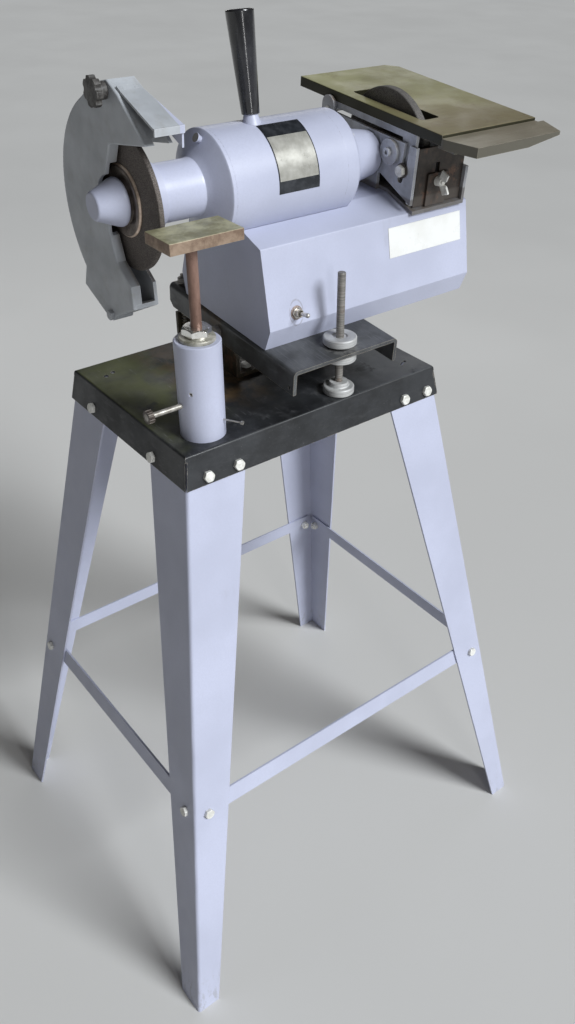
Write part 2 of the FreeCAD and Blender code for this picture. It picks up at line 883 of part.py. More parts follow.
def spring_solid(centre, z0, pitch):
    edges = []
    points = []
    steps = spring_turns * 2
    for step in range(steps):
        a = math.pi * step
        b = math.pi * (step + 1)
        p = helix_point(centre, a, z0 + pitch * step / 2)
        q = helix_point(centre, b, z0 + pitch * (step + 1) / 2)
        tp = helix_tangent(a, pitch)
        tq = helix_tangent(b, pitch)
        gap = q - p
        total = tp + tq
        qa = total.dot(total) - 4
        qb = -2 * gap.dot(total)
        qc = gap.dot(gap)
        reach = (-qb - math.sqrt(qb * qb - 4 * qa * qc)) / (2 * qa)
        join = (p + tp * reach + q - tq * reach) * 0.5
        join_tangent = ((q - tq * reach) - (p + tp * reach)).normalize()
        edges.append(arc_edge(p, tp, join))
        edges.append(arc_edge(join, join_tangent, q))
        points += edges[-2].discretize(9)[:-1] + edges[-1].discretize(9)[:-1]
    path = Part.Wire(edges)
    start = helix_point(centre, 0.0, z0)
    ring = Part.Wire(Part.makeCircle(spring_wire_r, start, helix_tangent(0.0, pitch)))
    shell = path.makePipeShell([ring], True, False)
    return shell, points


def least_gap(points, skip):
    """Least distance between two stretches of the wire's centre line, less its diameter."""
    least = 1e9
    for i in range(0, len(points), 2):
        for j in range(i + skip, min(len(points), i + 3 * skip)):
            least = min(least, points[i].distanceToPoint(points[j]))
    return least - 2 * spring_wire_r


def make_springs():
    springs = []
    for point in stud_points():
        z0 = pan_sheet + spring_seat + spring_wire_r
        top = spring_top(point) - spring_seat - 2 * spring_wire_r
        pitch = (top - z0) / spring_turns
        solid, points = spring_solid(V(point.x, point.y, 0), stand_height + z0, pitch)
        springs.append(solid)
        print("spring gap to itself", round(least_gap(points, 24), 2), "volume", round(solid.Volume, 1))
    emit("rocking_springs", [springs[0]])
    emit("rocking_springs", [springs[1]])


# Head: everything below is in the head's own level frame

def make_channel():
    left = channel_left
    right = channel_left + channel_width
    outer = box(left, right, 0, channel_length, -channel_flange, 0)
    bends = edges_where(outer, lambda p: p.z > -0.01)
    bends = [e for e in bends if e.BoundBox.YLength > 10]
    outer = outer.makeFillet(channel_bend, bends)
    t = channel_sheet
    inner = box(left + t, right - t, -1, channel_length + 1, -channel_flange - 1, -t)
    inner_bends = edges_where(inner, lambda p: p.z > -t - 0.01)
    inner_bends = [e for e in inner_bends if e.BoundBox.YLength > 10]
    inner = inner.makeFillet(channel_bend - t, inner_bends)
    channel = outer.cut(inner)
    corner = [
        (channel_length + 1, -channel_flange - 1),
        (channel_length + 1, -channel_flange + flange_corner),
        (channel_length - flange_corner - 1, -channel_flange - 1),
    ]
    channel = channel.cut(prism_x(corner, left - 1, right + 1))
    channel = channel.cut(slot_z(stop_x, rod_slot_from, rod_slot_to, rod_slot_width, -20, 5))
    for point in stud_points():
        channel = channel.cut(slot_z(point.x, stud_slot_from, stud_slot_to, stud_slot_width, -20, 5))
    pin_start = V(left - 1, pivot_y, pivot_z)
    channel = channel.cut(rod(pin_start, X_AXIS, pivot_pin_r + running_gap, channel_width + 2))
    channel = channel.cut(rod(V(left - 1, 8, -24), X_AXIS, 2.2, t + 2))
    for point in base_screw_points():
        channel = channel.cut(rod(point - V(0, 0, 10), Z_AXIS, base_screw_r + hole_gap, 20))
    emit_head("head_channel", [channel])


def base_screw_points():
    left = house_left + 22
    right = channel_left + channel_width - 20
    return [V(x, y, 0) for x in (left, right) for y in (82.0, 217.0)]


def house_outline():
    """Housing section in the plane across the shaft, starting at the front foot."""
    front = [
        (house_foot_y, 0.0),
        (house_wide_y, house_wide_z),
        (house_top_y, house_top_z),
        (house_deck_y, house_deck_z),
    ]
    rear = [(2 * house_middle_y - y, z) for y, z in reversed(front)]
    return front + rear


def bell_profile(grow):
    """Right end bell's outline as (x, radius), made larger by grow."""
    round_x = right_band_end + right_band_round
    points = [
        (motor_right, motor_r),
        (right_band_end, motor_r),
        (round_x - 2.0, motor_r - 2.3),
        (round_x, motor_r - 6.8),
        (right_face_x, right_face_r),
        ((right_face_x + right_neck_x) / 2, right_neck_r + 1.0),
        (right_neck_x, right_neck_r),
        (right_snout_end, right_snout_r),
    ]
    return [(x + grow, r + grow) for x, r in points]


def panel_point(x, up, out=0.0):
    """Point on the leaning front panel: up its slope, and out from its face."""
    dy = house_top_y - house_wide_y
    dz = house_top_z - house_wide_z
    length = math.hypot(dy, dz)
    slope = V(0, dy / length, dz / length)
    normal = V(0, -dz / length, dy / length)
    return V(x, house_wide_y, house_wide_z) + slope * up + normal * out


def rear_point(x, up, out=0.0):
    """The same on the rear panel."""
    point = panel_point(x, up, out)
    return V(x, 2 * house_middle_y - point.y, point.z)


def panel_normal():
    return (panel_point(0, 0, 1) - panel_point(0, 0, 0)).normalize()


def panel_box(x, up, width, height, depth0, depth1):
    """Box that lies on the front panel."""
    solid = box(-width / 2, width / 2, -height / 2, height / 2, depth0, depth1)
    slope = panel_point(0, 1) - panel_point(0, 0)
    turn = FreeCAD.Rotation(X_AXIS, slope, panel_normal(), "XYZ")
    solid.Placement = FreeCAD.Placement(panel_point(x, up), turn)
    return solid


def make_housing():
    right = house_left + house_length
    outline = house_outline()
    outer = prism_x(outline, house_left, right)
    long_edges = [e for e in outer.Edges if e.BoundBox.XLength > 50 and e.BoundBox.ZMin > 1]
    outer = outer.makeFillet(2.5, long_edges)
    face = Part.Face(polygon([V(house_left + house_sheet, y, z) for y, z in outline]))
    inner = face.makeOffset2D(-house_sheet).extrude(V(house_length - 2 * house_sheet, 0, 0))
    foot = box(
        house_left + house_sheet,
        right - house_sheet,
        house_foot_y + house_sheet,
        2 * house_middle_y - house_foot_y - house_sheet,
        -1,
        house_sheet + 1,
    )
    shell = outer.cut(inner).cut(foot)
    clear_r = motor_r + body_gap
    profile = [(house_left - 1, 0), (house_left - 1, clear_r), (motor_right, clear_r)]
    profile += bell_profile(body_gap) + [(right_snout_end, 0)]
    shell = shell.cut(turn_x(profile, axis_y, axis_z))
    well_start = V(right_wheel_x - 8, axis_y, axis_z)
    well = rod(well_start, X_AXIS, right_wheel_r + wheel_well, right_wheel_thick + 16)
    shell = shell.cut(well)
    shell = shell.cut(rod(panel_point(switch_x, switch_up, 1), panel_normal() * -1, switch_neck_r + 0.3, 6))
    grommet = rear_point(house_left + 40, 34.0)
    rear_out = rear_point(0, 0, 1) - rear_point(0, 0)
    shell = shell.cut(rod(grommet - rear_out * 10, rear_out, 6.0, 20))
    for point in bracket_screw_points():
        shell = shell.cut(rod(point + V(0, 0, 100), Z_AXIS, bracket_screw_r + hole_gap, 60))
    solids = sorted(shell.Solids, key=lambda s: -s.Volume)
    emit_head("motor_housing", [solids[0]])
    emit_head("cord_grommet", [make_grommet(grommet, rear_out)])

    y0 = house_foot_y + house_sheet + base_gap
    y1 = 2 * house_middle_y - y0
    x0 = house_left + house_sheet + base_gap
    x1 = right - house_sheet - base_gap
    plate = box(x0, x1, y0, y1, 0.0, base_sheet)
    screws = []
    for point in base_screw_points():
        plate = plate.cut(rod(point - V(0, 0, 1), Z_AXIS, base_screw_r + hole_gap, 10))
        low = point - V(0, 0, channel_sheet + 6)
        shank = rod(low, Z_AXIS, base_screw_r, channel_sheet + 6 + base_sheet)
        cap = rod(point + V(0, 0, base_sheet), Z_AXIS, base_screw_r * 1.9, 3)
        nut = hexagon(point - V(0, 0, channel_sheet + 4.5), Z_AXIS, 10, 4.4)
        screws.append(fuse_all([shank, cap]))
        screws.append(nut.cut(rod(point - V(0, 0, 20), Z_AXIS, base_screw_r + thread_gap, 30)))
    emit_head("housing_base", [plate])
    emit_head("head_screws", screws)

    out = panel_normal()
    face = panel_point(switch_x, switch_up)
    washer = tube(face, out, switch_washer_r, switch_neck_r + 0.3, switch_washer)
    neck = rod(face - out * 14, out, switch_neck_r, 22.5)
    block = panel_box(switch_x, switch_up, 17, 28, -25, -house_sheet - 0.5)
    cavity = rod(face + out * 1.5, out, switch_ball_r + 0.8, 8)
    nut = hexagon(face + out * switch_washer, out, switch_nut_flat, 2.4)
    nut = nut.cut(rod(face, out, switch_neck_r + thread_gap, 5))
    emit_head("switch_body", [washer])
    emit_head("switch_body", [fuse_all([neck, block]).cut(cavity)])
    emit_head("switch_body", [nut])
    ball = Part.makeSphere(switch_ball_r, panel_point(switch_x, switch_up, 5.2))
    lever = Part.makeCone(1.8, 2.9, 17, panel_point(switch_x, switch_up, 5.2), panel_normal())
    tip = Part.makeSphere(2.9, panel_point(switch_x, switch_up, 22.2))
    emit_head("switch_lever", [fuse_all([ball, lever, tip])])
    emit_head("front_label", [panel_box(label_x, label_up, label_w, label_h, 0.05, 0.55)])


def make_grommet(face, out):
    """Rubber ring in the hole where a supply lead enters, seated on the rear panel."""
    rim = rod(face + out * 0.1, out, 9.0, 3.0)
    neck = rod(face - out * (house_sheet + 3.2), out, 5.9, house_sheet + 6.0)
    inner_rim = rod(face - out * (house_sheet + 3.1), out, 8.0, 3.0)
    ring = fuse_all([neck, rim, inner_rim])
    return ring.cut(rod(face - out * 20, out, 3.4, 40))


def make_motor():
    ay = axis_y
    az = axis_z
    shell_start = V(motor_left + 6, ay, az)
    shell = tube(shell_start, X_AXIS, motor_r, motor_r - motor_wall, motor_right - motor_left - 6)
    inner = motor_r - motor_wall - sheet_gap
    left = [
        (motor_left + 6, inner),
        (motor_left + 6, motor_r),
        (motor_left + 1.5, motor_r),
        (motor_left, motor_r - 1.5),
        (shoulder_x, shoulder_r),
        (-79.5, 34.5),
        (-81.2, snout_r + 0.5),
        (-84.0, snout_r),
        (snout_left, snout_r),
        (snout_left, bearing_r),
        (left_bearing_x + bearing_width, bearing_r),
        (left_bearing_x + bearing_width, 13.0),
        (-92.0, 13.0),
        (-78.0, 24.0),
        (-60.0, 50.0),
        (motor_left + 12, 52.0),
        (motor_left + 12, inner),
    ]
    outer = bell_profile(0.0)
    right = [(motor_right, inner)] + outer + [
        (right_snout_end, 12.0),
        (right_bearing_x + bearing_width, 12.0),
        (right_bearing_x + bearing_width, bearing_r),
        (right_bearing_x, bearing_r),
        (right_bearing_x, 13.0),
        (right_face_x + 3.0, 13.0),
        (right_face_x + 1.0, right_face_r - 14.0),
        (right_band_end, motor_r - 10.8),
        (motor_right - 6, 54.0),
        (motor_right - 6, inner),
    ]
    foot = handle_foot()
    up = handle_direction()
    shell = shell.cut(rod(foot - up * 10, up, handle_stud_r + thread_gap, 20))
    cup_at, cup_out = oil_cup_place()
    left_bell = turn_x(left, ay, az)
    right_bell = turn_x(right, ay, az)
    emit_head("motor_shell", [shell])
    emit_head("left_end_bell", [left_bell.cut(rod(cup_at, cup_out, oil_cup_r + thread_gap, 20))])
    emit_head("right_end_bell", [right_bell])

    core_r = motor_r - motor_wall - sheet_gap
    core = tube(V(rotor_left, ay, az), X_AXIS, core_r, rotor_r + air_gap, rotor_right - rotor_left)
    slots = []
    for step in range(24):
        angle = math.radians(15 * step)
        start = V(rotor_left - 1, ay + 38 * math.cos(angle), az + 38 * math.sin(angle))
        slots.append(rod(start, X_AXIS, 2.6, rotor_right - rotor_left + 2))
    emit_head("stator", [cut_all(core, slots)])
    coils = []
    for x0, x1 in ((rotor_left - 17, rotor_left - 0.3), (rotor_right + 0.3, rotor_right + 17)):
        profile = [
            (x0, 38.0),
            (x0, 46.0),
            (x0 + 4, 50.0),
            (x1 - 4, 50.0),
            (x1, 46.0),
            (x1, 35.0),
            (x0 + 3, 35.0),
        ]
        coils.append(turn_x(profile, ay, az))
    emit_head("stator", coils)

    rotor = rod(V(rotor_left, ay, az), X_AXIS, rotor_r, rotor_right - rotor_left)
    rings = [tube(V(x, ay, az), X_AXIS, rotor_r - 1, 20, 5) for x in (rotor_left - 5, rotor_right)]
    bore = rod(V(rotor_left - 10, ay, az), X_AXIS, shaft_r, 110)
    emit_head("rotor", [fuse_all([rotor] + rings).cut(bore)])
    shaft_left = cone_tip_x + 8
    shaft = rod(V(shaft_left, ay, az), X_AXIS, shaft_r, shaft_right_end - shaft_left)
    emit_head("spindle_shaft", [shaft])
    bearings = []
    for x in (left_bearing_x, right_bearing_x):
        ring = tube(V(x, ay, az), X_AXIS, bearing_r - running_gap, shaft_r, bearing_width)
        grooves = [tube(V(g, ay, az), X_AXIS, 16.5, 11.5, 1.0) for g in (x, x + bearing_width - 1.0)]
        bearings.append(cut_all(ring, grooves))
    emit_head("spindle_bearings", bearings)

    saddles = []
    for x in (saddle_left_x, saddle_right_x):
        half = saddle_width / 2
        block = box(x, x + saddle_thick, ay - half, ay + half, base_sheet, az - 38)
        foot = box(x - 14, x + saddle_thick + 14, ay - half, ay + half, base_sheet, base_sheet + 4)
        piece = fuse_all([block, foot])
        saddles.append(piece.cut(rod(V(x - 20, ay, az), X_AXIS, motor_r, 60)))
    emit_head("motor_cradle", saddles)

    plate_length = nameplate_right - nameplate_left
    band = tube(V(nameplate_left, ay, az), X_AXIS, motor_r + 0.45, motor_r, plate_length)
    sector = plate_sector(nameplate_from, nameplate_to, nameplate_left, nameplate_right)
    emit_head("motor_nameplate", [band.common(sector)])

    cup_length = oil_cup_in + oil_cup_out
    cup = rod(cup_at, cup_out, oil_cup_r, cup_length)
    lid = rod(cup_at + cup_out * cup_length, cup_out, oil_lid_r, oil_lid)
    emit_head("motor_fittings", [fuse_all([cup, lid])])
    screws = []
    for angle in (40.0, 130.0, 220.0, 310.0):
        start = polar(right_face_x - 1.5, bell_screw_ring, angle)
        screws.append(rod(start, X_AXIS, bell_screw_head_r, bell_screw_head + 1.0).cut(right_bell))
    emit_head("motor_fittings", screws)

    make_handle()


def oil_cup_place():
    """Bottom of the oil cup's hole in the bell's sloping shoulder, and the way it points."""
    edge = polar(motor_left, motor_r - 1.5, oil_cup_angle)
    foot = polar(shoulder_x, shoulder_r, oil_cup_angle)
    slope = (foot - edge).normalize()
    around = (polar(0, 1, oil_cup_angle + 90) - polar(0, 0, oil_cup_angle)).normalize()
    out = slope.cross(around).normalize()
    return edge + (foot - edge) * oil_cup_along - out * oil_cup_in, out


def polar(x, radius, angle):
    """Point at a radius and angle round the shaft, counted from the rear towards the top."""
    a = math.radians(angle)
    return V(x, axis_y + radius * math.cos(a), axis_z + radius * math.sin(a))


def plate_sector(a0, a1, x0, x1):
    """Wedge round the shaft between two angles."""
    points = [(axis_y, axis_z)]
    for angle in (a0, (a0 + a1) / 2, a1):
        point = polar(x0, 1.5 * motor_r, angle)
        points.append((point.y, point.z))
    return prism_x(points, x0, x1)


def handle_direction():
    lean = math.radians(handle_lean)
    return V(0, math.sin(lean), math.cos(lean))


def handle_foot():
    """Where the handle's axis leaves the motor shell."""
    return V(0, axis_y, axis_z + motor_r)


def make_handle():
    up = handle_direction()
    foot = handle_foot()
    stud = rod(foot - up * 1.8, up, handle_stud_r, 24.8)
    emit_head("handle_stud", [stud])
    start = foot + up * handle_boss
    low = 6.0
    spread = (handle_boss_foot_r - handle_boss_r) * (handle_boss + low) / handle_boss
    boss = Part.makeCone(handle_boss_r + spread, handle_boss_r, handle_boss + low, foot - up * low, up)
    boss = boss.cut(rod(foot - up * 8.0, up, handle_stud_r + thread_gap, handle_boss + 9))
    boss = boss.cut(rod(V(-30, axis_y, axis_z), X_AXIS, motor_r, 60))
    emit_head("handle_ferrule", [boss])
    grip = Part.makeCone(handle_foot_r, handle_top_r, handle_length, start, up)
    end = start + up * handle_length
    top_rim = [e for e in grip.Edges if e.BoundBox.Center.distanceToPoint(end) < 1]
    grip = grip.makeFillet(handle_round, top_rim)
    grip = grip.cut(rod(start - up, up, handle_stud_r + thread_gap, 18.2))
    emit_head("pull_handle", [grip])


def make_left_wheel():
    ay = axis_y
    az = axis_z
    x = wheel_left
    bore = shaft_r
    wheel = tube(V(x, ay, az), X_AXIS, wheel_r, bore, wheel_thick)
    rims = [e for e in wheel.Edges if e.BoundBox.YLength > 2 * wheel_r - 1]
    emit_head("grinding_wheel", [wheel.makeChamfer(0.9, rims)])
    t = flange_thick
    outer = [
        (x, bore),
        (x, flange_r),
        (x - 1.2, flange_r),
        (x - t, flange_r - 2.5),
        (x - t, flange_r - 6.0),
        (x - t + 1.6, flange_r - 9.0),
        (x - t + 1.6, 24.0),
        (x - t, 22.0),
        (x - t, bore),
    ]
    emit_head("wheel_flanges", [turn_x(outer, ay, az)])
    back = x + wheel_thick
    inner = [
        (back, bore),
        (back, flange_r),
        (back + 1.5, flange_r),
        (back + t, flange_r - 3),
        (back + t, 14.0),
        (left_bearing_x - 1.0, 14.0),
        (left_bearing_x - 1.0, bore),
    ]
    emit_head("wheel_flanges", [turn_x(inner, ay, az)])
    front = x - t
    cone = [
        (front, bore),
        (front, 21.0),
        (cone_back_x, 24.2),
        (cone_back_x - 1.6, 25.6),
        (cone_back_x - 3.6, cone_r),
        (cone_back_x - 6.5, cone_r - 0.6),
        (cone_tip_x + 2.4, cone_tip_r + 1.0),
        (cone_tip_x + 0.7, cone_tip_r),
        (cone_tip_x, cone_tip_r - 1.8),
        (cone_tip_x, 0),
        (cone_tip_x + 8, 0),
        (cone_tip_x + 8, bore),
    ]
    emit_head("nose_cone_nut", [turn_x(cone, ay, az)])


def guard_points():
    """Cover outline as (y, z) from the shaft; the rear side is one arc."""
    return [
        (76.7, -101.2),
        (84.0, -127.0),
        (26.0, -148.0),
        (-20.0, -120.0),
        (-34.7, -111.1),
        (-31.2, -84.6),
        (-2.5, -66.4),
        (10.8, -35.5),
        (10.5, 21.8),
        (-4.5, 62.5),
        (-78.3, 81.1),
        guard_brow,
        guard_peak,
        (22.0, 116.0),
        (52.0, 94.0),
    ]


def guard_wire(x):
    points = [V(x, axis_y + y, axis_z + z) for y, z in guard_points()]
    edges = [Part.LineSegment(a, b).toShape() for a, b in zip(points[:-1], points[1:])]
    rear = V(x, axis_y + 112.5, axis_z - 10.0)
    edges.append(Part.Arc(points[-1], rear, points[0]).toShape())
    return Part.Wire(edges)


def guard_front_cut(x0, x1):
    """Region in front of the guard's open edge, with the band just behind that edge."""
    points = [
        (-130.0, 100.0),
        (-78.3, 87.1),
        (-4.5, 68.5),
        (17.0, 66.0),
        (17.0, -62.0),
        (4.0, -72.0),
        (-25.0, -90.0),
        (-28.0, -106.0),
        (-130.0, -106.0),
    ]
    return prism_x([(axis_y + y, axis_z + z) for y, z in points], x0, x1)


def make_guard():
    ay = axis_y
    az = axis_z
    depth = guard_back_x - (guard_face_x + guard_cover_t)
    knob_at = V(guard_face_x, ay + knob_y, az + knob_z)
    hinge_at = V(guard_face_x, ay + hinge_y, az + hinge_z)
    cover = Part.Face(guard_wire(guard_face_x)).extrude(V(guard_cover_t, 0, 0))
    front = guard_face_x + 0.1
    rounded = [e for e in cover.Edges if e.BoundBox.XLength < 0.1 and e.BoundBox.XMin < front]
    cover = cover.makeFillet(2.2, rounded)
    lip_start = guard_face_x + guard_cover_t
    band_outer = Part.Face(guard_wire(lip_start)).extrude(V(guard_lip, 0, 0))
    band_inner = Part.Face(guard_wire(lip_start)).makeOffset2D(-guard_wall).extrude(V(guard_lip, 0, 0))
    band = band_outer.cut(band_inner)
    lip = band.common(guard_front_cut(lip_start, lip_start + guard_lip))
    notch = rod(V(guard_face_x - 5, ay, az), X_AXIS, cone_notch_r, 40)
    wide_notch = rod(V(lip_start, ay, az), X_AXIS, cone_notch_r + 12, 40)
    lip_pieces = [s for s in lip.cut(wide_notch).Solids if s.Volume > 60]
    ear = rod(hinge_at, X_AXIS, hinge_lug_r, guard_cover_t)
    cover = fuse_all([cover.cut(notch), ear] + lip_pieces)
    cover = cover.cut(rod(knob_at - V(5, 0, 0), X_AXIS, knob_stud_r + hole_gap, 20))
    cover = cover.cut(rod(hinge_at - V(5, 0, 0), X_AXIS, hinge_bolt_r + hole_gap, 20))
    emit_head("guard_cover", [cover])

    start = lip_start + sheet_gap
    whole = Part.Face(guard_wire(start)).extrude(V(depth - sheet_gap, 0, 0))
    hollow = Part.Face(guard_wire(start)).makeOffset2D(-guard_wall).extrude(V(depth - sheet_gap, 0, 0))
    wall = whole.cut(hollow).cut(guard_front_cut(start - 1, guard_back_x + 1))
    wall = sorted(wall.Solids, key=lambda s: -s.Volume)[0]
    back = Part.Face(guard_wire(guard_back_x)).extrude(V(guard_back_t, 0, 0))
    hub = rod(V(guard_back_x, ay, az), X_AXIS, hub_ring_r, hub_ring_end - guard_back_x)
    boss_start = V(start, knob_at.y, knob_at.z)
    boss = rod(boss_start, X_AXIS, knob_hub_r, depth + guard_back_t - sheet_gap)
    lug = rod(V(start, hinge_at.y, hinge_at.z), X_AXIS, hinge_lug_r, hinge_lug_end - start)
    body = fuse_all([wall, back, hub, boss, lug])
    throat = rod(V(guard_back_x - 1, ay, az), X_AXIS, 20.0, 60)
    seat = rod(V(snout_left - 0.5, ay, az), X_AXIS, snout_r + running_gap, 40)
    body = body.cut(throat).cut(seat)
    body = body.cut(rod(boss_start - V(1, 0, 0), X_AXIS, knob_stud_r + thread_gap, 22))
    body = body.cut(rod(V(start - 1, hinge_at.y, hinge_at.z), X_AXIS, hinge_bolt_r + thread_gap, 16))
    for at, out in rivet_places():
        body = body.cut(rod(at - out * 6, out, rivet_r + running_gap, 10))
    emit_head("guard_body", [body])

    head = hex_head(hinge_at, V(-1, 0, 0), 11.0, 4.6, 12)
    screws = [fuse_all([head, rod(hinge_at, X_AXIS, hinge_bolt_r, 16)])]
    for at, out in rivet_places():
        screws.append(rod(at - out * (5.5 - visor_sheet), out, rivet_r, 5.5))
    emit_head("guard_screws", screws)

    neck = rod(knob_at - V(body_gap, 0, 0), V(-1, 0, 0), knob_hub_r, knob_hub)
    disc_at = knob_at - V(body_gap + knob_hub, 0, 0)
    disc = rod(disc_at, V(-1, 0, 0), knob_r, knob_disc)
    bites = []
    for step in range(knob_lobes):
        angle = 2 * math.pi * step / knob_lobes
        offset = V(0, math.cos(angle), math.sin(angle)) * (knob_r + 2.2)
        bites.append(rod(disc_at + offset + V(1, 0, 0), V(-1, 0, 0), 4.4, knob_disc + 2))
    stud = rod(disc_at, X_AXIS, knob_stud_r, 28)
    emit_head("guard_knob", [fuse_all([neck, cut_all(disc, bites), stud])])
    emit_head("guard_visor", [make_visor()])


def brow_height(y):
    """Height over the shaft of the visor's underside where it lies on the guard."""
    slope = (guard_peak[1] - guard_brow[1]) / (guard_peak[0] - guard_brow[0])
    return guard_brow[1] + slope * (y - guard_brow[0]) + visor_gap


def rivet_places():
    """Where each visor rivet meets the visor's underside, and the way it points."""
    y = guard_brow[0] + visor_overlap / 2
    rise = guard_peak[1] - guard_brow[1]
    run = guard_peak[0] - guard_brow[0]
    out = V(0, -rise, run).normalize()
    return [(V(x, axis_y + y, axis_z + brow_height(y)), out) for x in rivet_x]


def make_visor():
    """Bent sheet that roofs the guard's front, with a lip and a tapered right side."""
    t = visor_sheet
    rear_y = guard_brow[0] + visor_overlap
    bend_y = guard_brow[0] - 0.7
    rear_z = brow_height(rear_y)
    bend_z = brow_height(bend_y)
    front_y = visor_front_y
    front_z = visor_front_z
    section = [
        (rear_y, rear_z),
        (bend_y, bend_z),
        (front_y, front_z),
        (front_y, front_z + t),
        (bend_y, bend_z + t),
        (rear_y, rear_z + t),
    ]
    sheet = prism_x([(axis_y + y, axis_z + z) for y, z in section], visor_left, visor_right_front)
    plan = [
        (visor_left, rear_y),
        (visor_right_rear, rear_y),
        (visor_right_rear, visor_taper_y),
        (visor_right_front, front_y),
        (visor_left, front_y),
    ]
    sheet = sheet.common(prism_z([(x, axis_y + y) for x, y in plan], axis_z, axis_z + 2 * guard_peak[1]))
    lip_y = axis_y + front_y
    low = axis_z + visor_lip_z
    lip = box(visor_left, visor_right_front, lip_y - visor_lip, lip_y, low, axis_z + front_z + t)
    slope = (bend_z - front_z) / (bend_y - front_y)
    near_y = -40.0
    flange = [
        (front_y, front_z + t / 2),
        (front_y, 79.0),
        (-75.0, 86.0),
        (-60.0, 96.0),
        (near_y, 110.0),
        (near_y, front_z + t / 2 + slope * (near_y - front_y)),
    ]
    corner = V(visor_right_front, lip_y, axis_z)
    side = prism_x([(y - front_y, z) for y, z in flange], -visor_lip, 0)
    taper = math.degrees(math.atan2(visor_right_front - visor_right_rear, visor_taper_y - front_y))
    side.Placement = FreeCAD.Placement(corner, FreeCAD.Rotation(Z_AXIS, taper))
    visor = fuse_all([sheet, lip, side])
    for at, out in rivet_places():
        visor = visor.cut(rod(at - out, out, rivet_r + running_gap, 8))
    return visor


def make_right_wheel():
    ay = axis_y
    az = axis_z
    x = right_wheel_x
    wheel = tube(V(x, ay, az), X_AXIS, right_wheel_r, shaft_r, right_wheel_thick)
    rims = [e for e in wheel.Edges if e.BoundBox.YLength > 2 * right_wheel_r - 1]
    emit_head("table_wheel", [wheel.makeChamfer(1.2, rims)])
    t = right_flange_thick
    left = [
        (x, shaft_r),
        (x, right_flange_r),
        (x - t, right_flange_r - 1.5),
        (x - t, 13.0),
        (right_snout_end + 8.0, 13.0),
        (right_snout_end + 8.0, shaft_r),
    ]
    far = x + right_wheel_thick
    right = [
        (far, shaft_r),
        (far, right_flange_r),
        (far + t, right_flange_r - 1.5),
        (far + t, shaft_r),
    ]
    emit_head("wheel_flanges", [turn_x(left, ay, az), turn_x(right, ay, az)])
    nut = hex_head(V(far + t, ay, az), X_AXIS, 24, 12)
    emit_head("table_wheel_nut", [nut.cut(rod(V(far, ay, az), X_AXIS, shaft_r, 40))])


def bracket_screw_points():
    left = bracket_left_x + 12
    right = bracket_right_x - 9.4
    return [V(x, y, 0) for x in (left, right) for y in (84.0, 180.0)]


def side_outline(foot, front):
    """Bracket side plate as (y, z), from its foot along the deck and up to the tilt pin."""
    rear = [
        (198.0, house_deck_z + body_gap),
        (tilt_y + right_boss_r, 180.0),
        (tilt_y + right_boss_r, tilt_z),
        (tilt_y - right_boss_r, tilt_z),
    ]
    return foot + rear + front


def deck_height(y):
    """Height of the housing's sloping front deck, with the gap that the bracket keeps."""
    slope = (house_deck_z - house_top_z) / (house_deck_y - house_top_y)
    return min(house_deck_z, house_top_z + slope * (y - house_top_y)) + body_gap


def arc_slot(radius, half, a0, a1, x0, x1):
    """Slot with round ends that follows a circle about the tilt pin."""
    ring = tube(V(x0, tilt_y, tilt_z), X_AXIS, radius + half, radius - half, x1 - x0)
    far = 2 * radius
    wedge = [(tilt_y, tilt_z)]
    for angle in (a0, a1):
        a = math.radians(angle)
        wedge.append((tilt_y + far * math.cos(a), tilt_z + far * math.sin(a)))
    pieces = [ring.common(prism_x(wedge, x0, x1))]
    for angle in (a0, a1):
        a = math.radians(angle)
        centre = V(x0, tilt_y + radius * math.cos(a), tilt_z + radius * math.sin(a))
        pieces.append(rod(centre, X_AXIS, half, x1 - x0))
    return fuse_all(pieces)


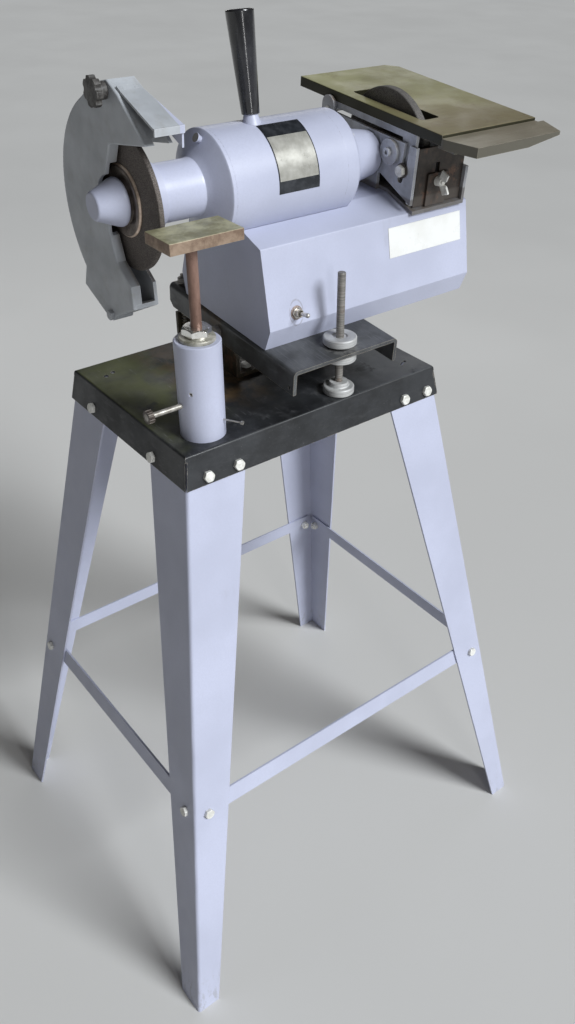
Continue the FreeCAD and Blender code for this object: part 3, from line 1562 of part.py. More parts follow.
def make_bracket():
    ay = axis_y
    az = axis_z
    t = bracket_sheet
    left = bracket_left_x
    right = bracket_right_x + t
    slope_top = t * 1.03
    deck = house_deck_z + body_gap
    floor = prism_x(
        [
            (bracket_front_y, deck_height(bracket_front_y)),
            (house_deck_y, deck),
            (floor_rear_y, deck),
            (floor_rear_y, deck + t),
            (house_deck_y, deck + t),
            (bracket_front_y, deck_height(bracket_front_y) + slope_top),
        ],
        left,
        right,
    )
    well_start = V(right_wheel_x - 7, ay, az)
    well = rod(well_start, X_AXIS, right_wheel_r + wheel_well, right_wheel_thick + 14)
    floor = floor.cut(well)
    floor = floor.cut(box(left - 1, left + floor_inset, 0, bracket_step_y, 0, deck + t + 5))
    pieces = [floor]
    left_foot = [
        (bracket_front_y, bracket_lift_front_z),
        (bracket_lift_y, bracket_lift_z),
        (bracket_step_y, bracket_lift_z),
        (bracket_step_y, deck),
    ]
    right_foot = [(bracket_front_y, deck_height(bracket_front_y)), (house_deck_y, deck)]
    left_front = [(bracket_front_y, bracket_top_z)]
    right_front = [(150.0, 190.0), (95.0, bracket_low_z), (bracket_front_y, bracket_low_z)]
    sides = ((left, left_foot, left_front), (bracket_right_x, right_foot, right_front))
    for x, foot, front in sides:
        pieces.append(prism_x(side_outline(foot, front), x, x + t))
        pieces.append(rod(V(x, tilt_y, tilt_z), X_AXIS, right_boss_r, t))
    crown_z = left_boss_top - left_boss_r
    pieces.append(rod(V(left, tilt_y, crown_z), X_AXIS, left_boss_r, t))
    y0 = tilt_y - left_boss_r
    pieces.append(box(left, left + t, y0, y0 + 2 * left_boss_r, tilt_z - 10, crown_z))
    bracket = fuse_all(pieces)
    bracket = bracket.cut(rod(V(left - 1, ay, az), X_AXIS, 17.0, t + 2))
    bracket = bracket.cut(rod(V(bracket_right_x - 1, ay, az), X_AXIS, 17.0, t + 2))
    pin_start = V(left - 1, tilt_y, tilt_z)
    bracket = bracket.cut(rod(pin_start, X_AXIS, tilt_pin_r + thread_gap, right - left + 2))
    reach = math.hypot(clamp_y - tilt_y, clamp_z - tilt_z)
    angle = math.degrees(math.atan2(clamp_z - tilt_z, clamp_y - tilt_y)) % 360
    bracket = bracket.cut(arc_slot(reach, 4.6, angle - 11.5, angle + 4.5, left - 1, left + t + 1))
    disc_at = V(left, disc_y, disc_z)
    bracket = bracket.cut(rod(disc_at - V(1, 0, 0), X_AXIS, 4.0 + hole_gap, t + 2))
    screws = []
    for point in bracket_screw_points():
        top = deck_height(point.y) + (slope_top if point.y < house_deck_y else t)
        at = V(point.x, point.y, top)
        bracket = bracket.cut(rod(at - V(0, 0, 9), Z_AXIS, bracket_screw_r + hole_gap, 12))
        shank = rod(at - V(0, 0, 12), Z_AXIS, bracket_screw_r, 13)
        rise = 1.3 if point.y < house_deck_y else 0.05
        screws.append(fuse_all([shank, rod(at + V(0, 0, rise), Z_AXIS, 4.6, 3.0)]))
    emit_head("table_bracket", [bracket])
    emit_head("head_screws", screws)

    disc = tube(disc_at - V(4.4, 0, 0), X_AXIS, disc_r, 4.0 + thread_gap, 4.0)
    emit_head("clamp_disc", [disc])
    cap = rod(disc_at - V(8.8, 0, 0), X_AXIS, 5.6, 4.3)
    cap = cap.cut(hexagon(disc_at - V(9.8, 0, 0), X_AXIS, 5.0, 4))
    shank = rod(disc_at - V(4.6, 0, 0), X_AXIS, 4.0, 14)
    emit_head("clamp_disc", [fuse_all([cap, shank])])
    lock = hexagon(disc_at + V(t + 0.3, 0, 0), X_AXIS, 9.8, 4.2)
    emit_head("head_screws", [lock.cut(rod(disc_at, X_AXIS, 4.0 + thread_gap, 30))])

    x0 = left + t + arm_gap + arm_sheet + 1.2
    shield_low = deck_height(shield_y + shield_sheet) + slope_top + 0.4
    x1 = bracket_right_x - 0.3
    shield = box(x0, x1, shield_y, shield_y + shield_sheet, shield_low, 199.0)
    back = shield_y + shield_sheet
    slot = box(wing_x - 3.4, wing_x + 3.4, shield_y - 1, back + 1, wing_z - 3.4, wing_z + 22)
    shield = shield.cut(slot)
    emit_head("wheel_shield", [shield])
    foot_low = deck_height(shield_y) + t + 0.7
    foot = box(wing_x - 17, wing_x + 17, shield_y - 3.2, shield_y - 0.1, foot_low, wing_z + 10)
    foot = foot.cut(rod(V(wing_x, shield_y - 5, wing_z), Y_AXIS, 3.2, 10))
    emit_head("wheel_shield", [foot])
    stud = rod(V(wing_x, shield_y - 14, wing_z), Y_AXIS, 3.0, 14 + shield_sheet + 0.2)
    nut = rod(V(wing_x, back + 0.1, wing_z), Y_AXIS, 5.6, 2.0)
    emit_head("head_screws", [fuse_all([stud, nut])])
    emit_head("wing_nut", [make_wing_nut(V(wing_x, shield_y - 3.5, wing_z))])


def make_wing_nut(at):
    """Wing nut that faces the operator, with its wings slanted up and out."""
    hub = Part.makeCone(6.6, 5.0, 8.0, at, V(0, -1, 0))
    wings = []
    for side in (-1, 1):
        blade = box(side * 11 - 7, side * 11 + 7, -1.4, 1.4, 0, 11)
        blade = blade.makeFillet(1.2, [e for e in blade.Edges if e.BoundBox.ZLength > 5])
        turn = FreeCAD.Rotation(Y_AXIS, side * -24)
        frame = FreeCAD.Placement(V(0, 0, 2), turn)
        blade.Placement = frame
        wings.append(blade)
    wing = fuse_all(wings + [Part.makeCylinder(5.0, 8.0)])
    tilt = FreeCAD.Rotation(Z_AXIS, V(0, -1, 0)).multiply(FreeCAD.Rotation(Z_AXIS, wing_turn))
    wing.Placement = FreeCAD.Placement(at, tilt)
    body = fuse_all([hub, wing])
    return body.cut(rod(at + V(0, 1, 0), V(0, -1, 0), 3.0 + running_gap, 20))


def make_table():
    left = table_left
    right = table_left + table_width
    front = table_front
    rear = table_front + table_length
    b = table_bevel
    outline = [(left, front), (right, front), (right, rear - b), (right - b, rear), (left, rear)]
    top = prism_z(outline, table_top - table_thick, table_top)
    upper = [e for e in top.Edges if e.BoundBox.ZMin > table_top - 0.1]
    top = top.makeFillet(1.0, upper)
    opening = box(slot_left, slot_right, slot_front, slot_rear, table_top - 30, table_top + 5)
    opening = opening.makeFillet(4.0, [e for e in opening.Edges if e.BoundBox.ZLength > 5])
    top = top.cut(opening)
    arm_x = bracket_left_x + bracket_sheet + arm_gap
    emit_head("saw_table", [top])

    under = table_top - table_thick
    arms = []
    left_arm = prism_x(
        [
            (tilt_y + 9, under),
            (tilt_y + 9, tilt_z),
            (tilt_y - 9, tilt_z),
            (tilt_y - 14, arm_low),
            (102.0, arm_low),
            (100.0, 160.0),
            (81.0, 158.0),
            (78.0, under),
        ],
        arm_x,
        arm_x + arm_sheet,
    )
    right_x = bracket_right_x + bracket_sheet + arm_gap
    right_arm = prism_x(
        [
            (tilt_y + 9, under),
            (tilt_y + 9, tilt_z),
            (tilt_y - 9, tilt_z),
            (tilt_y - 14, arm_low),
            (100.0, arm_low),
            (80.0, 178.0),
            (74.0, 180.0),
            (58.0, under),
        ],
        right_x,
        right_x + arm_sheet,
    )
    for arm, x in ((left_arm, arm_x), (right_arm, right_x)):
        boss = rod(V(x, tilt_y, tilt_z), X_AXIS, 9.0, arm_sheet)
        arm = fuse_all([arm, boss])
        arm = arm.cut(rod(V(x - 1, tilt_y, tilt_z), X_AXIS, tilt_pin_r + running_gap, arm_sheet + 2))
        arms.append(arm)
    clamp_start = V(arm_x - 1, clamp_y, clamp_z)
    arms[0] = arms[0].cut(rod(clamp_start, X_AXIS, 4.0 + thread_gap, arm_sheet + 2))
    emit_head("table_arms", arms)

    pin_left = bracket_left_x - 1.5
    pin_right = right_x + arm_sheet + 4
    pin = rod(V(pin_left, tilt_y, tilt_z), X_AXIS, tilt_pin_r, pin_right - pin_left)
    emit_head("tilt_hardware", [pin])
    head_x = bracket_left_x - 0.3
    washer = tube(V(head_x - 1.8, clamp_y, clamp_z), X_AXIS, 9.0, 4.0 + thread_gap, 1.8)
    emit_head("tilt_hardware", [washer])
    head = hex_head(V(head_x - 1.9, clamp_y, clamp_z), V(-1, 0, 0), 12.7, 5.2, 15)
    shank = rod(V(head_x - 1.9, clamp_y, clamp_z), X_AXIS, 4.0, 18)
    nut_x = arm_x + arm_sheet + 0.1
    nut = hexagon(V(nut_x, clamp_y, clamp_z), X_AXIS, 12.7, 5.0)
    nut = nut.cut(rod(V(nut_x - 1, clamp_y, clamp_z), X_AXIS, 4.0 + thread_gap, 10))
    emit_head("tilt_hardware", [fuse_all([head, shank]), nut])

    rail_top = table_top - rail_drop
    rail_low = rail_top - rail_thick
    joint_y = front - sheet_gap
    shoulder_y = joint_y - rail_shoulder
    rail_front = shoulder_y - rail_width
    rail = prism_z(
        [
            (left, joint_y),
            (left, shoulder_y),
            (left + 15, rail_front),
            (rail_right - 14, rail_front),
            (rail_right, shoulder_y),
            (right, shoulder_y),
            (right, joint_y),
        ],
        rail_low,
        rail_top,
    )
    wedge = prism_y(
        [(rail_right + 5, rail_top - 2), (rail_right - 70, rail_low), (rail_right + 5, rail_top - 40)],
        rail_front - 5,
        front + 5,
    )
    rail = rail.cut(wedge)
    tongue = box(left + 10, right - 30, joint_y - sheet_gap, front + 14, rail_low - 4, under - 0.05)
    tie = box(left + 10, right - 30, front - 14, front, rail_low - 4, rail_low + 0.2)
    emit_head("front_rail", [fuse_all([rail, tongue, tie])])


make_stand()
make_post()
make_stop_rod()
make_pivot()
make_springs()
make_channel()
make_housing()
make_motor()
make_left_wheel()
make_guard()
make_right_wheel()
make_bracket()
make_table()
write_nodes()
pivot = head_place.multVec(V(0, pivot_y, pivot_z))
print("origin_x", round(origin_x, 3), "pivot", round(pivot.y, 3), round(pivot.z, 3))
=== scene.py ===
import json
import math

import bmesh
import bpy
from mathutils import Matrix, Vector

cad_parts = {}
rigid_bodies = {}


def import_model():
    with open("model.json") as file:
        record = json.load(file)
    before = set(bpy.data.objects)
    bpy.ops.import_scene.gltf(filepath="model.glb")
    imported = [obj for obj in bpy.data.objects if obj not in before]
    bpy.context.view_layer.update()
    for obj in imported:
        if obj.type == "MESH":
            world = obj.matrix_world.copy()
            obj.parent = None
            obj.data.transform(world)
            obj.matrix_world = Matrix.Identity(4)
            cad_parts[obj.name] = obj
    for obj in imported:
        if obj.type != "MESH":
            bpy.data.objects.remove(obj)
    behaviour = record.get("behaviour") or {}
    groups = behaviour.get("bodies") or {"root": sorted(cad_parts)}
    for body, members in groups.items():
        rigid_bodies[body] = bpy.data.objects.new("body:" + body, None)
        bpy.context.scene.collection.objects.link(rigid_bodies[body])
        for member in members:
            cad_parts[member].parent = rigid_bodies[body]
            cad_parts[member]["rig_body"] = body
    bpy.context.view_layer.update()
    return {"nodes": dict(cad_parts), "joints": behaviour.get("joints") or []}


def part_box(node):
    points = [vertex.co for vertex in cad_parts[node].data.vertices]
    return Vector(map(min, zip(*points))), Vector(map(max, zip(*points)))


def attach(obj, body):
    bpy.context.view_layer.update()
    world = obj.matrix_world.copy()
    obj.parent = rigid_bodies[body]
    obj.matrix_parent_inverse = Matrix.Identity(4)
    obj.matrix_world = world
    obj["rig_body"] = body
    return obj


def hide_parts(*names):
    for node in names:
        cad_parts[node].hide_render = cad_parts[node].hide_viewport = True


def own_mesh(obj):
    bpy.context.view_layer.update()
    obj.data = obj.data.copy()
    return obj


# Looks of a saw sharpening machine on its splayed stand: painted sheet steel, a grinding
# motor with a guarded wheel on the left, and a slotted saw table on the right.
# Metres, +Z up, floor at Z = 0, the operator on the -Y side.

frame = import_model()

bl_info = {
    "name": "Saw sharpening machine",
    "version": (1, 0, 0),
    "blender": (4, 5, 0),
    "location": "View3D > Sidebar > Sharpener",
    "description": "Finishes the pieces of a saw sharpening machine and sets its stage",
    "category": "Object",
}

JOINTS = {joint["name"]: joint for joint in frame["joints"]}
SHAFT = Vector(JOINTS["spindle_spin"]["pos_m"])
HEAD_PITCH = math.atan2(JOINTS["wing_nut_turn"]["axis"][2], JOINTS["wing_nut_turn"]["axis"][1])
HEAD_TURN = Matrix.Rotation(HEAD_PITCH, 3, "X")

# Places that the materials and pieces are measured from

low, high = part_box("stop_rod")
STOP_AXIS = ((low.x + high.x) / 2, (low.y + high.y) / 2, 0.0)
low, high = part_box("motor_nameplate")
NAMEPLATE_HALF = (high.x - low.x) / 2
NAMEPLATE_MIDDLE = (high.x + low.x) / 2
NAMEPLATE_RIM = 0.0014
NAMEPLATE_FIELD = (121.0, 169.0)
low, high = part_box("switch_lever")
SWITCH_AT = Vector(JOINTS["switch_toggle"]["pos_m"])
SWITCH_OUT = ((low + high) / 2 - SWITCH_AT).normalized()
SWITCH_SLOPE = SWITCH_OUT.cross(Vector((1, 0, 0)))
SWITCH_DEPTH = 0.0052
IMPRINT = (0.0100, 0.0155)
FLANGE_RIM = 0.0387
BRACKET_FOOT = -0.0345
HUB_FROM = -0.1502
GUARD_BACK = (-0.176, -0.170)
CUP_OUT = HEAD_TURN @ Vector((-0.88, 0.0, 0.475))

# Sizes that tell the solids of one node apart

POST_LEAST = 0.05
SWITCH_LEAST = 0.020
SWITCH_NUT = 0.0155
TILT_WASHER = 0.003

# Springs, handle, floor, lights and the photograph's frame (angles in degrees)

SPRING_TURNS = 17
SPRING_WIRE = 0.0008
SPRING_SPARE = 0.02
HANDLE_LEAN = 13.5
HANDLE_FOOT = ((0.0008, 0.0), (0.0002, 0.0003), (0.0, 0.0010))
HANDLE_FLAT = 0.45
HANDLE_SPARE = 0.0001
HANDLE_STEPS = 9
RIM_STEPS = 6
FLOOR_HALF = 30.0
KEY_FROM = (0.26, -0.76, 0.60)
KEY_COLOUR = (0.93, 0.97, 1.0)
KEY_WIDTH = 24.0
SOFT_BOXES = (
    ("rear_panel", (1.5, 2.4, 1.85), 7.0, (2.4, 0.5)),
    ("front_strip", (-0.75, -2.9, 1.50), 9.5, (0.13, 1.7)),
)
PHOTO_WIDTH, PHOTO_HEIGHT = 575.0, 1024.0

FINE = 0.0003
MERGE = 0.000002
SHARP = math.radians(32)
FLAT = math.radians(0.4)


# Settings that a user would change

def setting(name, description, value, kind=bpy.props.FloatProperty, **rest):
    return kind(name=name, description=description, default=value, **rest)


def size(*words):
    return setting(*words, unit="LENGTH", precision=5)


def angle(name, description, degrees):
    return setting(name, description, math.radians(degrees), subtype="ANGLE")


def amount(*words):
    return setting(*words, min=0.0, max=1.0, subtype="FACTOR")


def colour(*words):
    return setting(*words, bpy.props.FloatVectorProperty, subtype="COLOR", size=3, min=0.0, max=1.0)


class SharpenerPaint(bpy.types.PropertyGroup):
    machine: colour("Machine paint", "Enamel on the stand, housing, motor and post", (0.490, 0.510, 0.640))
    guard: colour("Guard paint", "Paint on the cast guard and its visor", (0.44, 0.46, 0.49))
    tray: colour("Tray", "Black finish of the tray", (0.016, 0.017, 0.019))
    oil: colour("Oil film", "Old oil that lies on the tray", (0.072, 0.079, 0.029))
    channel: colour("Channel", "Dark finish of the rocking channel", (0.066, 0.068, 0.070))
    iron: colour("Oiled iron", "Dark finish of the rear bracket", (0.050, 0.042, 0.028))
    table: colour("Table", "Stained steel of the saw table", (0.36, 0.35, 0.175))
    rust: colour("Rust", "Rust on rods and edges", (0.20, 0.105, 0.065))


class SharpenerWear(bpy.types.PropertyGroup):
    chips: amount("Chips", "Paint worn off the edges", 0.55)
    dirt: amount("Dirt", "Grime that lies on the paint", 0.30)
    peel: amount("Orange peel", "Fine unevenness of the paint", 0.16)


class SharpenerSizes(bpy.types.PropertyGroup):
    sheet_edge: size("Sheet edge", "Rounding of cut sheet metal", 0.0004)
    cast_edge: size("Cast edge", "Rounding of cast pieces", 0.0009)
    turned_edge: size("Turned edge", "Rounding of turned pieces and bolts", 0.0003)
    guard_edge: size("Guard edge", "Rounding of the cast guard", 0.0015)
    cone_edge: size("Cone edge", "Rounding of the cone-shaped nut", 0.0024)
    shell_edge: size("Shell edge", "Rounding of the motor's shell", 0.00045)
    nut_edge: size("Nut edge", "Rounding of the larger nuts", 0.0006)
    label_edge: size("Label edge", "Rounding of thin plates", 0.0001)
    grip_top: size("Handle top radius", "Radius of the handle near its top", 0.0158)
    grip_foot: size("Handle foot radius", "Radius of the handle at its foot", 0.0104)
    grip_round: size("Handle rim", "Rounding of the handle's flat top", 0.0025)


class SharpenerStage(bpy.types.PropertyGroup):
    camera_at: setting(
        "Camera", "Place of the camera", (-0.65207, -0.92097, 1.39824),
        bpy.props.FloatVectorProperty, subtype="XYZ", size=3,
    )
    camera_azimuth: angle("Azimuth", "Way the camera looks, from +Y towards +X", 40.12)
    camera_tilt: angle("Tilt", "How far the camera looks down", 35.92)
    camera_roll: angle("Roll", "Turn of the camera about its own axis", 1.623)
    focal_pixels: setting("Focal length", "Focal length in pixels of a 575 by 1024 frame", 925.92)
    middle_x: setting("Middle X", "Pixel column that the lens points at", 331.42)
    middle_y: setting("Middle Y", "Pixel row that the lens points at", 520.62)
    key: setting("Key light", "Strength of the key light", 3.6)
    fill: setting("Fill", "Strength of the light from all round", 0.05)


# Materials

class Finish:
    """One node material. Each method adds nodes and gives back an output."""

    def __init__(self, name):
        self.material = bpy.data.materials.new(name)
        self.material.use_nodes = True
        self.tree = self.material.node_tree
        self.shader = self.tree.nodes["Principled BSDF"]
        coordinates = self.add("ShaderNodeTexCoord")
        self.place = coordinates.outputs["Object"]
        self.facing = coordinates.outputs["Normal"]
        self.tone = None

    def add(self, kind, **settings):
        node = self.tree.nodes.new(kind)
        for key, value in settings.items():
            setattr(node, key, value)
        return node

    def put(self, value, socket):
        """Links an output to a socket, or sets a plain value on it."""
        if isinstance(value, bpy.types.NodeSocket):
            self.tree.links.new(value, socket)
        elif socket.type == "RGBA" and len(value) == 3:
            socket.default_value = (*value, 1.0)
        else:
            socket.default_value = value

    def mapped(self, stretch=(1, 1, 1), turn=(0, 0, 0), move=(0, 0, 0), source=None):
        node = self.add("ShaderNodeMapping")
        self.put(source or self.place, node.inputs["Vector"])
        self.put(move, node.inputs["Location"])
        self.put(turn, node.inputs["Rotation"])
        self.put(stretch, node.inputs["Scale"])
        return node.outputs["Vector"]

    def centred(self, centre, turn=0.0):
        """Place counted from a point, in axes that are pitched about X."""
        rotation = Matrix.Rotation(-turn, 3, "X")
        return self.mapped(turn=(-turn, 0, 0), move=-(rotation @ Vector(centre)))

    def noise(self, scale, detail=3.0, rough=0.55, stretch=None, source=None, twist=0.0):
        node = self.add("ShaderNodeTexNoise")
        vector = self.mapped(stretch, source=source) if stretch else (source or self.place)
        self.put(vector, node.inputs["Vector"])
        self.put(scale, node.inputs["Scale"])
        self.put(detail, node.inputs["Detail"])
        self.put(rough, node.inputs["Roughness"])
        self.put(twist, node.inputs["Distortion"])
        return node.outputs["Fac"]

    def cells(self, scale, feature="F1", source=None):
        node = self.add("ShaderNodeTexVoronoi", feature=feature)
        self.put(source or self.place, node.inputs["Vector"])
        self.put(scale, node.inputs["Scale"])
        return node.outputs["Distance"]

    def ramp(self, value, low, high, start=0.0, end=1.0):
        node = self.add("ShaderNodeMapRange", interpolation_type="SMOOTHSTEP")
        for socket, number in zip(node.inputs[:5], (value, low, high, start, end)):
            self.put(number, socket)
        return node.outputs["Result"]

    def clouds(self, pattern, low, high, dark, light):
        """Two tones in clouds of noise."""
        return self.blend(self.spots(low, high, *pattern), dark, light)

    def uneven(self, scale, detail, start, end):
        """A value that wanders from start to end."""
        return self.ramp(self.noise(scale, detail), 0.3, 0.7, start, end)

    def grain(self, scale, detail, strength, depth=FINE, under=None):
        """Bump of noise, laid over another bump if one is given."""
        return self.bump(self.noise(scale, detail), strength, depth, under)

    def cover(self, mask, colour):
        """Lays a colour over the tone where the mask is 1."""
        self.tone = self.blend(mask, self.tone, colour)

    def stain(self, mask, share, colour):
        self.cover(self.times(mask, share), colour)

    def spots(self, low, high, *pattern):
        """Mask of noise that rises from low to high."""
        return self.ramp(self.noise(*pattern), low, high)

    def times(self, first, *factors):
        for factor in factors:
            first = self.calc("MULTIPLY", first, factor)
        return first

    def rest_of(self, mask):
        return self.calc("SUBTRACT", 1.0, mask)

    def calc(self, operation, a, b=0.0):
        node = self.add("ShaderNodeMath", operation=operation, use_clamp=False)
        self.put(a, node.inputs[0])
        self.put(b, node.inputs[1])
        return node.outputs["Value"]

    def blend(self, factor, a, b):
        node = self.add("ShaderNodeMix", data_type="RGBA")
        self.put(factor, node.inputs["Factor"])
        self.put(a, node.inputs[6])
        self.put(b, node.inputs[7])
        return node.outputs[2]

    def split(self, vector):
        node = self.add("ShaderNodeSeparateXYZ")
        self.put(vector, node.inputs["Vector"])
        return node.outputs

    def along(self, vector, direction):
        """How far a vector reaches along a direction."""
        node = self.add("ShaderNodeVectorMath", operation="DOT_PRODUCT")
        self.put(vector, node.inputs[0])
        self.put(direction, node.inputs[1])
        return node.outputs["Value"]

    def reach(self, a, b):
        """Length of the flat vector (a, b)."""
        return self.calc("SQRT", self.calc("ADD", self.calc("POWER", a, 2.0), self.calc("POWER", b, 2.0)))

    def edges(self, radius, low=0.015, high=0.16):
        """Mask that is 1 on outer and inner edges."""
        bevel = self.add("ShaderNodeBevel", samples=4)
        self.put(radius, bevel.inputs["Radius"])
        plain = self.add("ShaderNodeNewGeometry").outputs["Normal"]
        return self.ramp(self.rest_of(self.along(bevel.outputs["Normal"], plain)), low, high)

    def upward(self, low, high):
        """Mask of the faces that look up."""
        return self.ramp(self.split(self.facing)[2], low, high)

    def worn(self, radius, pattern, low, high, sharp=0.12):
        """Edges that are rubbed through in places."""
        return self.times(self.edges(radius, 0.01, sharp), self.spots(low, high, *pattern))

    def bump(self, height, strength, distance=0.001, under=None):
        node = self.add("ShaderNodeBump")
        self.put(height, node.inputs["Height"])
        self.put(strength, node.inputs["Strength"])
        self.put(distance, node.inputs["Distance"])
        if under:
            self.put(under, node.inputs["Normal"])
        return node.outputs["Normal"]

    def done(self, rough, metal=0.0, normal=None, **sockets):
        self.put(self.tone, self.shader.inputs["Base Color"])
        self.put(rough, self.shader.inputs["Roughness"])
        self.put(metal, self.shader.inputs["Metallic"])
        if normal:
            self.put(normal, self.shader.inputs["Normal"])
        for name, value in sockets.items():
            self.put(value, self.shader.inputs[name.replace("_", " ")])
        return self.material


FINISHES = {}


def paint(name):
    return tuple(getattr(bpy.context.scene.sharpener_paint, name))


def own_name(make):
    """Lists a finish that carries the name of the function that makes it."""
    FINISHES[make.__name__] = (make,)
    return make


def shade(rgb, factor):
    return tuple(min(1.0, channel * factor) for channel in rgb)


@own_name
def machine_enamel(name, imprint=False):
    """Pale blue-grey machine enamel: even, a little orange peel, chipped at its edges."""
    wear = bpy.context.scene.sharpener_wear
    base = paint("machine")
    m = Finish(name)
    m.tone = m.clouds((7.0, 3.0), 0.35, 0.68, shade(base, 0.93), shade(base, 1.05))
    speck = m.spots(0.35, 0.70, 420.0, 2.0)
    m.stain(speck, 0.22, shade(base, 0.86))
    runs = m.spots(0.56, 0.78, 26.0, 5.0, 0.6, (1, 1, 0.16))
    smear = m.spots(0.52, 0.72, 11.0, 4.0, 0.65)
    grime = m.times(runs, smear, wear.dirt)
    m.cover(grime, (0.19, 0.18, 0.15))
    edge = m.edges(0.0011)
    broken = m.spots(0.48, 0.60, 190.0, 4.0, 0.7)
    chips = m.times(edge, broken, wear.chips)
    m.cover(chips, (0.17, 0.15, 0.13))
    foot = m.ramp(m.split(m.place)[2], 0.09, 0.0)
    scuffs = m.times(foot, m.spots(0.50, 0.64, 120.0, 5.0, 0.75, (1, 1, 0.3)))
    m.stain(scuffs, 0.55, (0.30, 0.30, 0.31))
    if imprint:
        from_switch = m.centred(SWITCH_AT)
        wide = m.calc("DIVIDE", m.along(from_switch, (1, 0, 0)), IMPRINT[0])
        tall = m.calc("DIVIDE", m.along(from_switch, SWITCH_SLOPE), IMPRINT[1])
        off_line = m.calc("ABSOLUTE", m.calc("SUBTRACT", m.reach(wide, tall), 1.0))
        line = m.times(m.ramp(off_line, 0.11, 0.03), m.spots(0.34, 0.56, 130.0, 3.0))
        m.stain(line, 0.42, (0.20, 0.18, 0.18))
    rough = m.ramp(m.noise(34.0, 4.0), 0.3, 0.75, 0.36, 0.50)
    peel = m.grain(560.0, 2.0, wear.peel, 0.0004)
    waves = m.grain(22.0, 2.0, 0.10, 0.0010, peel)
    return m.done(rough, 0.0, waves, Coat_Weight=0.12, Coat_Roughness=0.22)


@own_name
def guard_enamel(name):
    """Thicker paint on rough castings, painted dark brown inside as shade with some soot, and plain paint
    on the hub.
    """
    base = paint("guard")
    m = Finish(name)
    m.tone = m.clouds((16.0, 4.0), 0.32, 0.70, shade(base, 0.84), shade(base, 1.10))
    dust = m.spots(0.50, 0.74, 46.0, 5.0, 0.7)
    m.stain(dust, 0.28, (0.27, 0.25, 0.21))
    x, y, z = m.split(m.centred(SHAFT, HEAD_PITCH))
    _, back, up = m.split(m.mapped(turn=(-HEAD_PITCH, 0, 0), source=m.facing))
    radius = m.reach(y, z)
    outward = m.calc("ADD", m.times(back, y), m.times(up, z))
    outward = m.calc("DIVIDE", outward, radius)
    hub = m.ramp(x, HUB_FROM, HUB_FROM + 0.001)
    # Inward-facing surfaces deep in the guard turn dark brown: painted shade, with some soot.
    inner = m.ramp(outward, -0.25, -0.55)
    inner = m.times(inner, m.times(m.ramp(x, *GUARD_BACK), m.rest_of(hub)))
    soot_and_shade = m.clouds((60.0, 5.0, 0.7), 0.35, 0.70, (0.070, 0.060, 0.052), (0.19, 0.165, 0.145))
    m.stain(inner, 0.85, soot_and_shade)
    m.cover(hub, paint("machine"))
    # Painted highlight: the casting's edges are turned a lighter grey.
    m.stain(m.edges(0.0016, 0.02, 0.25), 0.45, (0.66, 0.68, 0.70))
    rough = m.uneven(60.0, 3.0, 0.42, 0.60)
    sand = m.bump(m.noise(330.0, 3.0, 0.6), 0.26, 0.0007)
    lumps = m.grain(38.0, 3.0, 0.25, 0.0016, sand)
    return m.done(rough, 0.0, lumps, Coat_Weight=0.10, Coat_Roughness=0.35)


@own_name
def oily_black(name):
    """Black tray with an old olive oil film on top, rust near the pivot and scuffed sides."""
    base = paint("tray")
    m = Finish(name)
    x, y, _ = m.split(m.place)
    up = m.upward(0.75, 0.95)
    m.tone = m.clouds((15.0, 5.0, 0.65), 0.32, 0.72, shade(base, 0.70), shade(base, 2.0))
    side_scuff = m.spots(0.50, 0.75, 75.0, 6.0, 0.72, (0.5, 0.5, 1.6))
    front = m.ramp(m.split(m.facing)[1], -0.4, -0.9)
    scuffed = m.times(side_scuff, m.calc("SUBTRACT", 0.45, m.times(front, 0.30)))
    m.cover(scuffed, (0.135, 0.135, 0.140))
    wobble = m.times(m.calc("SUBTRACT", m.noise(9.0, 4.0, 0.6), 0.5), 0.30)
    left = m.ramp(m.calc("ADD", x, wobble), -0.100, -0.155)
    left = m.times(left, m.ramp(m.calc("ADD", y, wobble), -0.115, -0.045))
    film = m.times(left, up, m.ramp(m.noise(30.0, 4.0), 0.25, 0.62, 0.45, 1.0))
    m.cover(film, paint("oil"))
    right = m.times(m.ramp(m.calc("ADD", x, wobble), 0.02, 0.14), up)
    m.stain(right, 0.62, (0.105, 0.108, 0.114))
    near_x = m.ramp(m.calc("ABSOLUTE", m.calc("ADD", x, 0.072)), 0.075, 0.012)
    near_y = m.ramp(m.calc("ADD", y, wobble), -0.10, 0.02)
    rusty = m.times(near_x, near_y, up)
    rusty = m.times(rusty, m.spots(0.36, 0.60, 42.0, 5.0, 0.7))
    m.cover(rusty, (0.120, 0.078, 0.040))
    blots = m.times(m.spots(0.58, 0.66, 19.0, 5.0, 0.7), up)
    m.stain(blots, 0.75, (0.012, 0.013, 0.014))
    worn = m.worn(0.0014, (150.0, 4.0, 0.7), 0.42, 0.56)
    m.stain(worn, 0.75, (0.30, 0.27, 0.24))
    scratch = m.spots(0.66, 0.72, 60.0, 3.0, 0.5, (9.0, 0.6, 9.0))
    m.stain(scratch, 0.25, (0.24, 0.24, 0.25))
    rough = m.ramp(m.noise(13.0, 4.0, 0.6), 0.30, 0.70, 0.36, 0.60)
    rough = m.calc("ADD", rough, m.times(film, 0.10))
    skin = m.bump(m.noise(240.0, 4.0, 0.65), 0.20, 0.0005)
    dents = m.grain(14.0, 3.0, 0.20, 0.0020, skin)
    return m.done(rough, 0.0, dents)


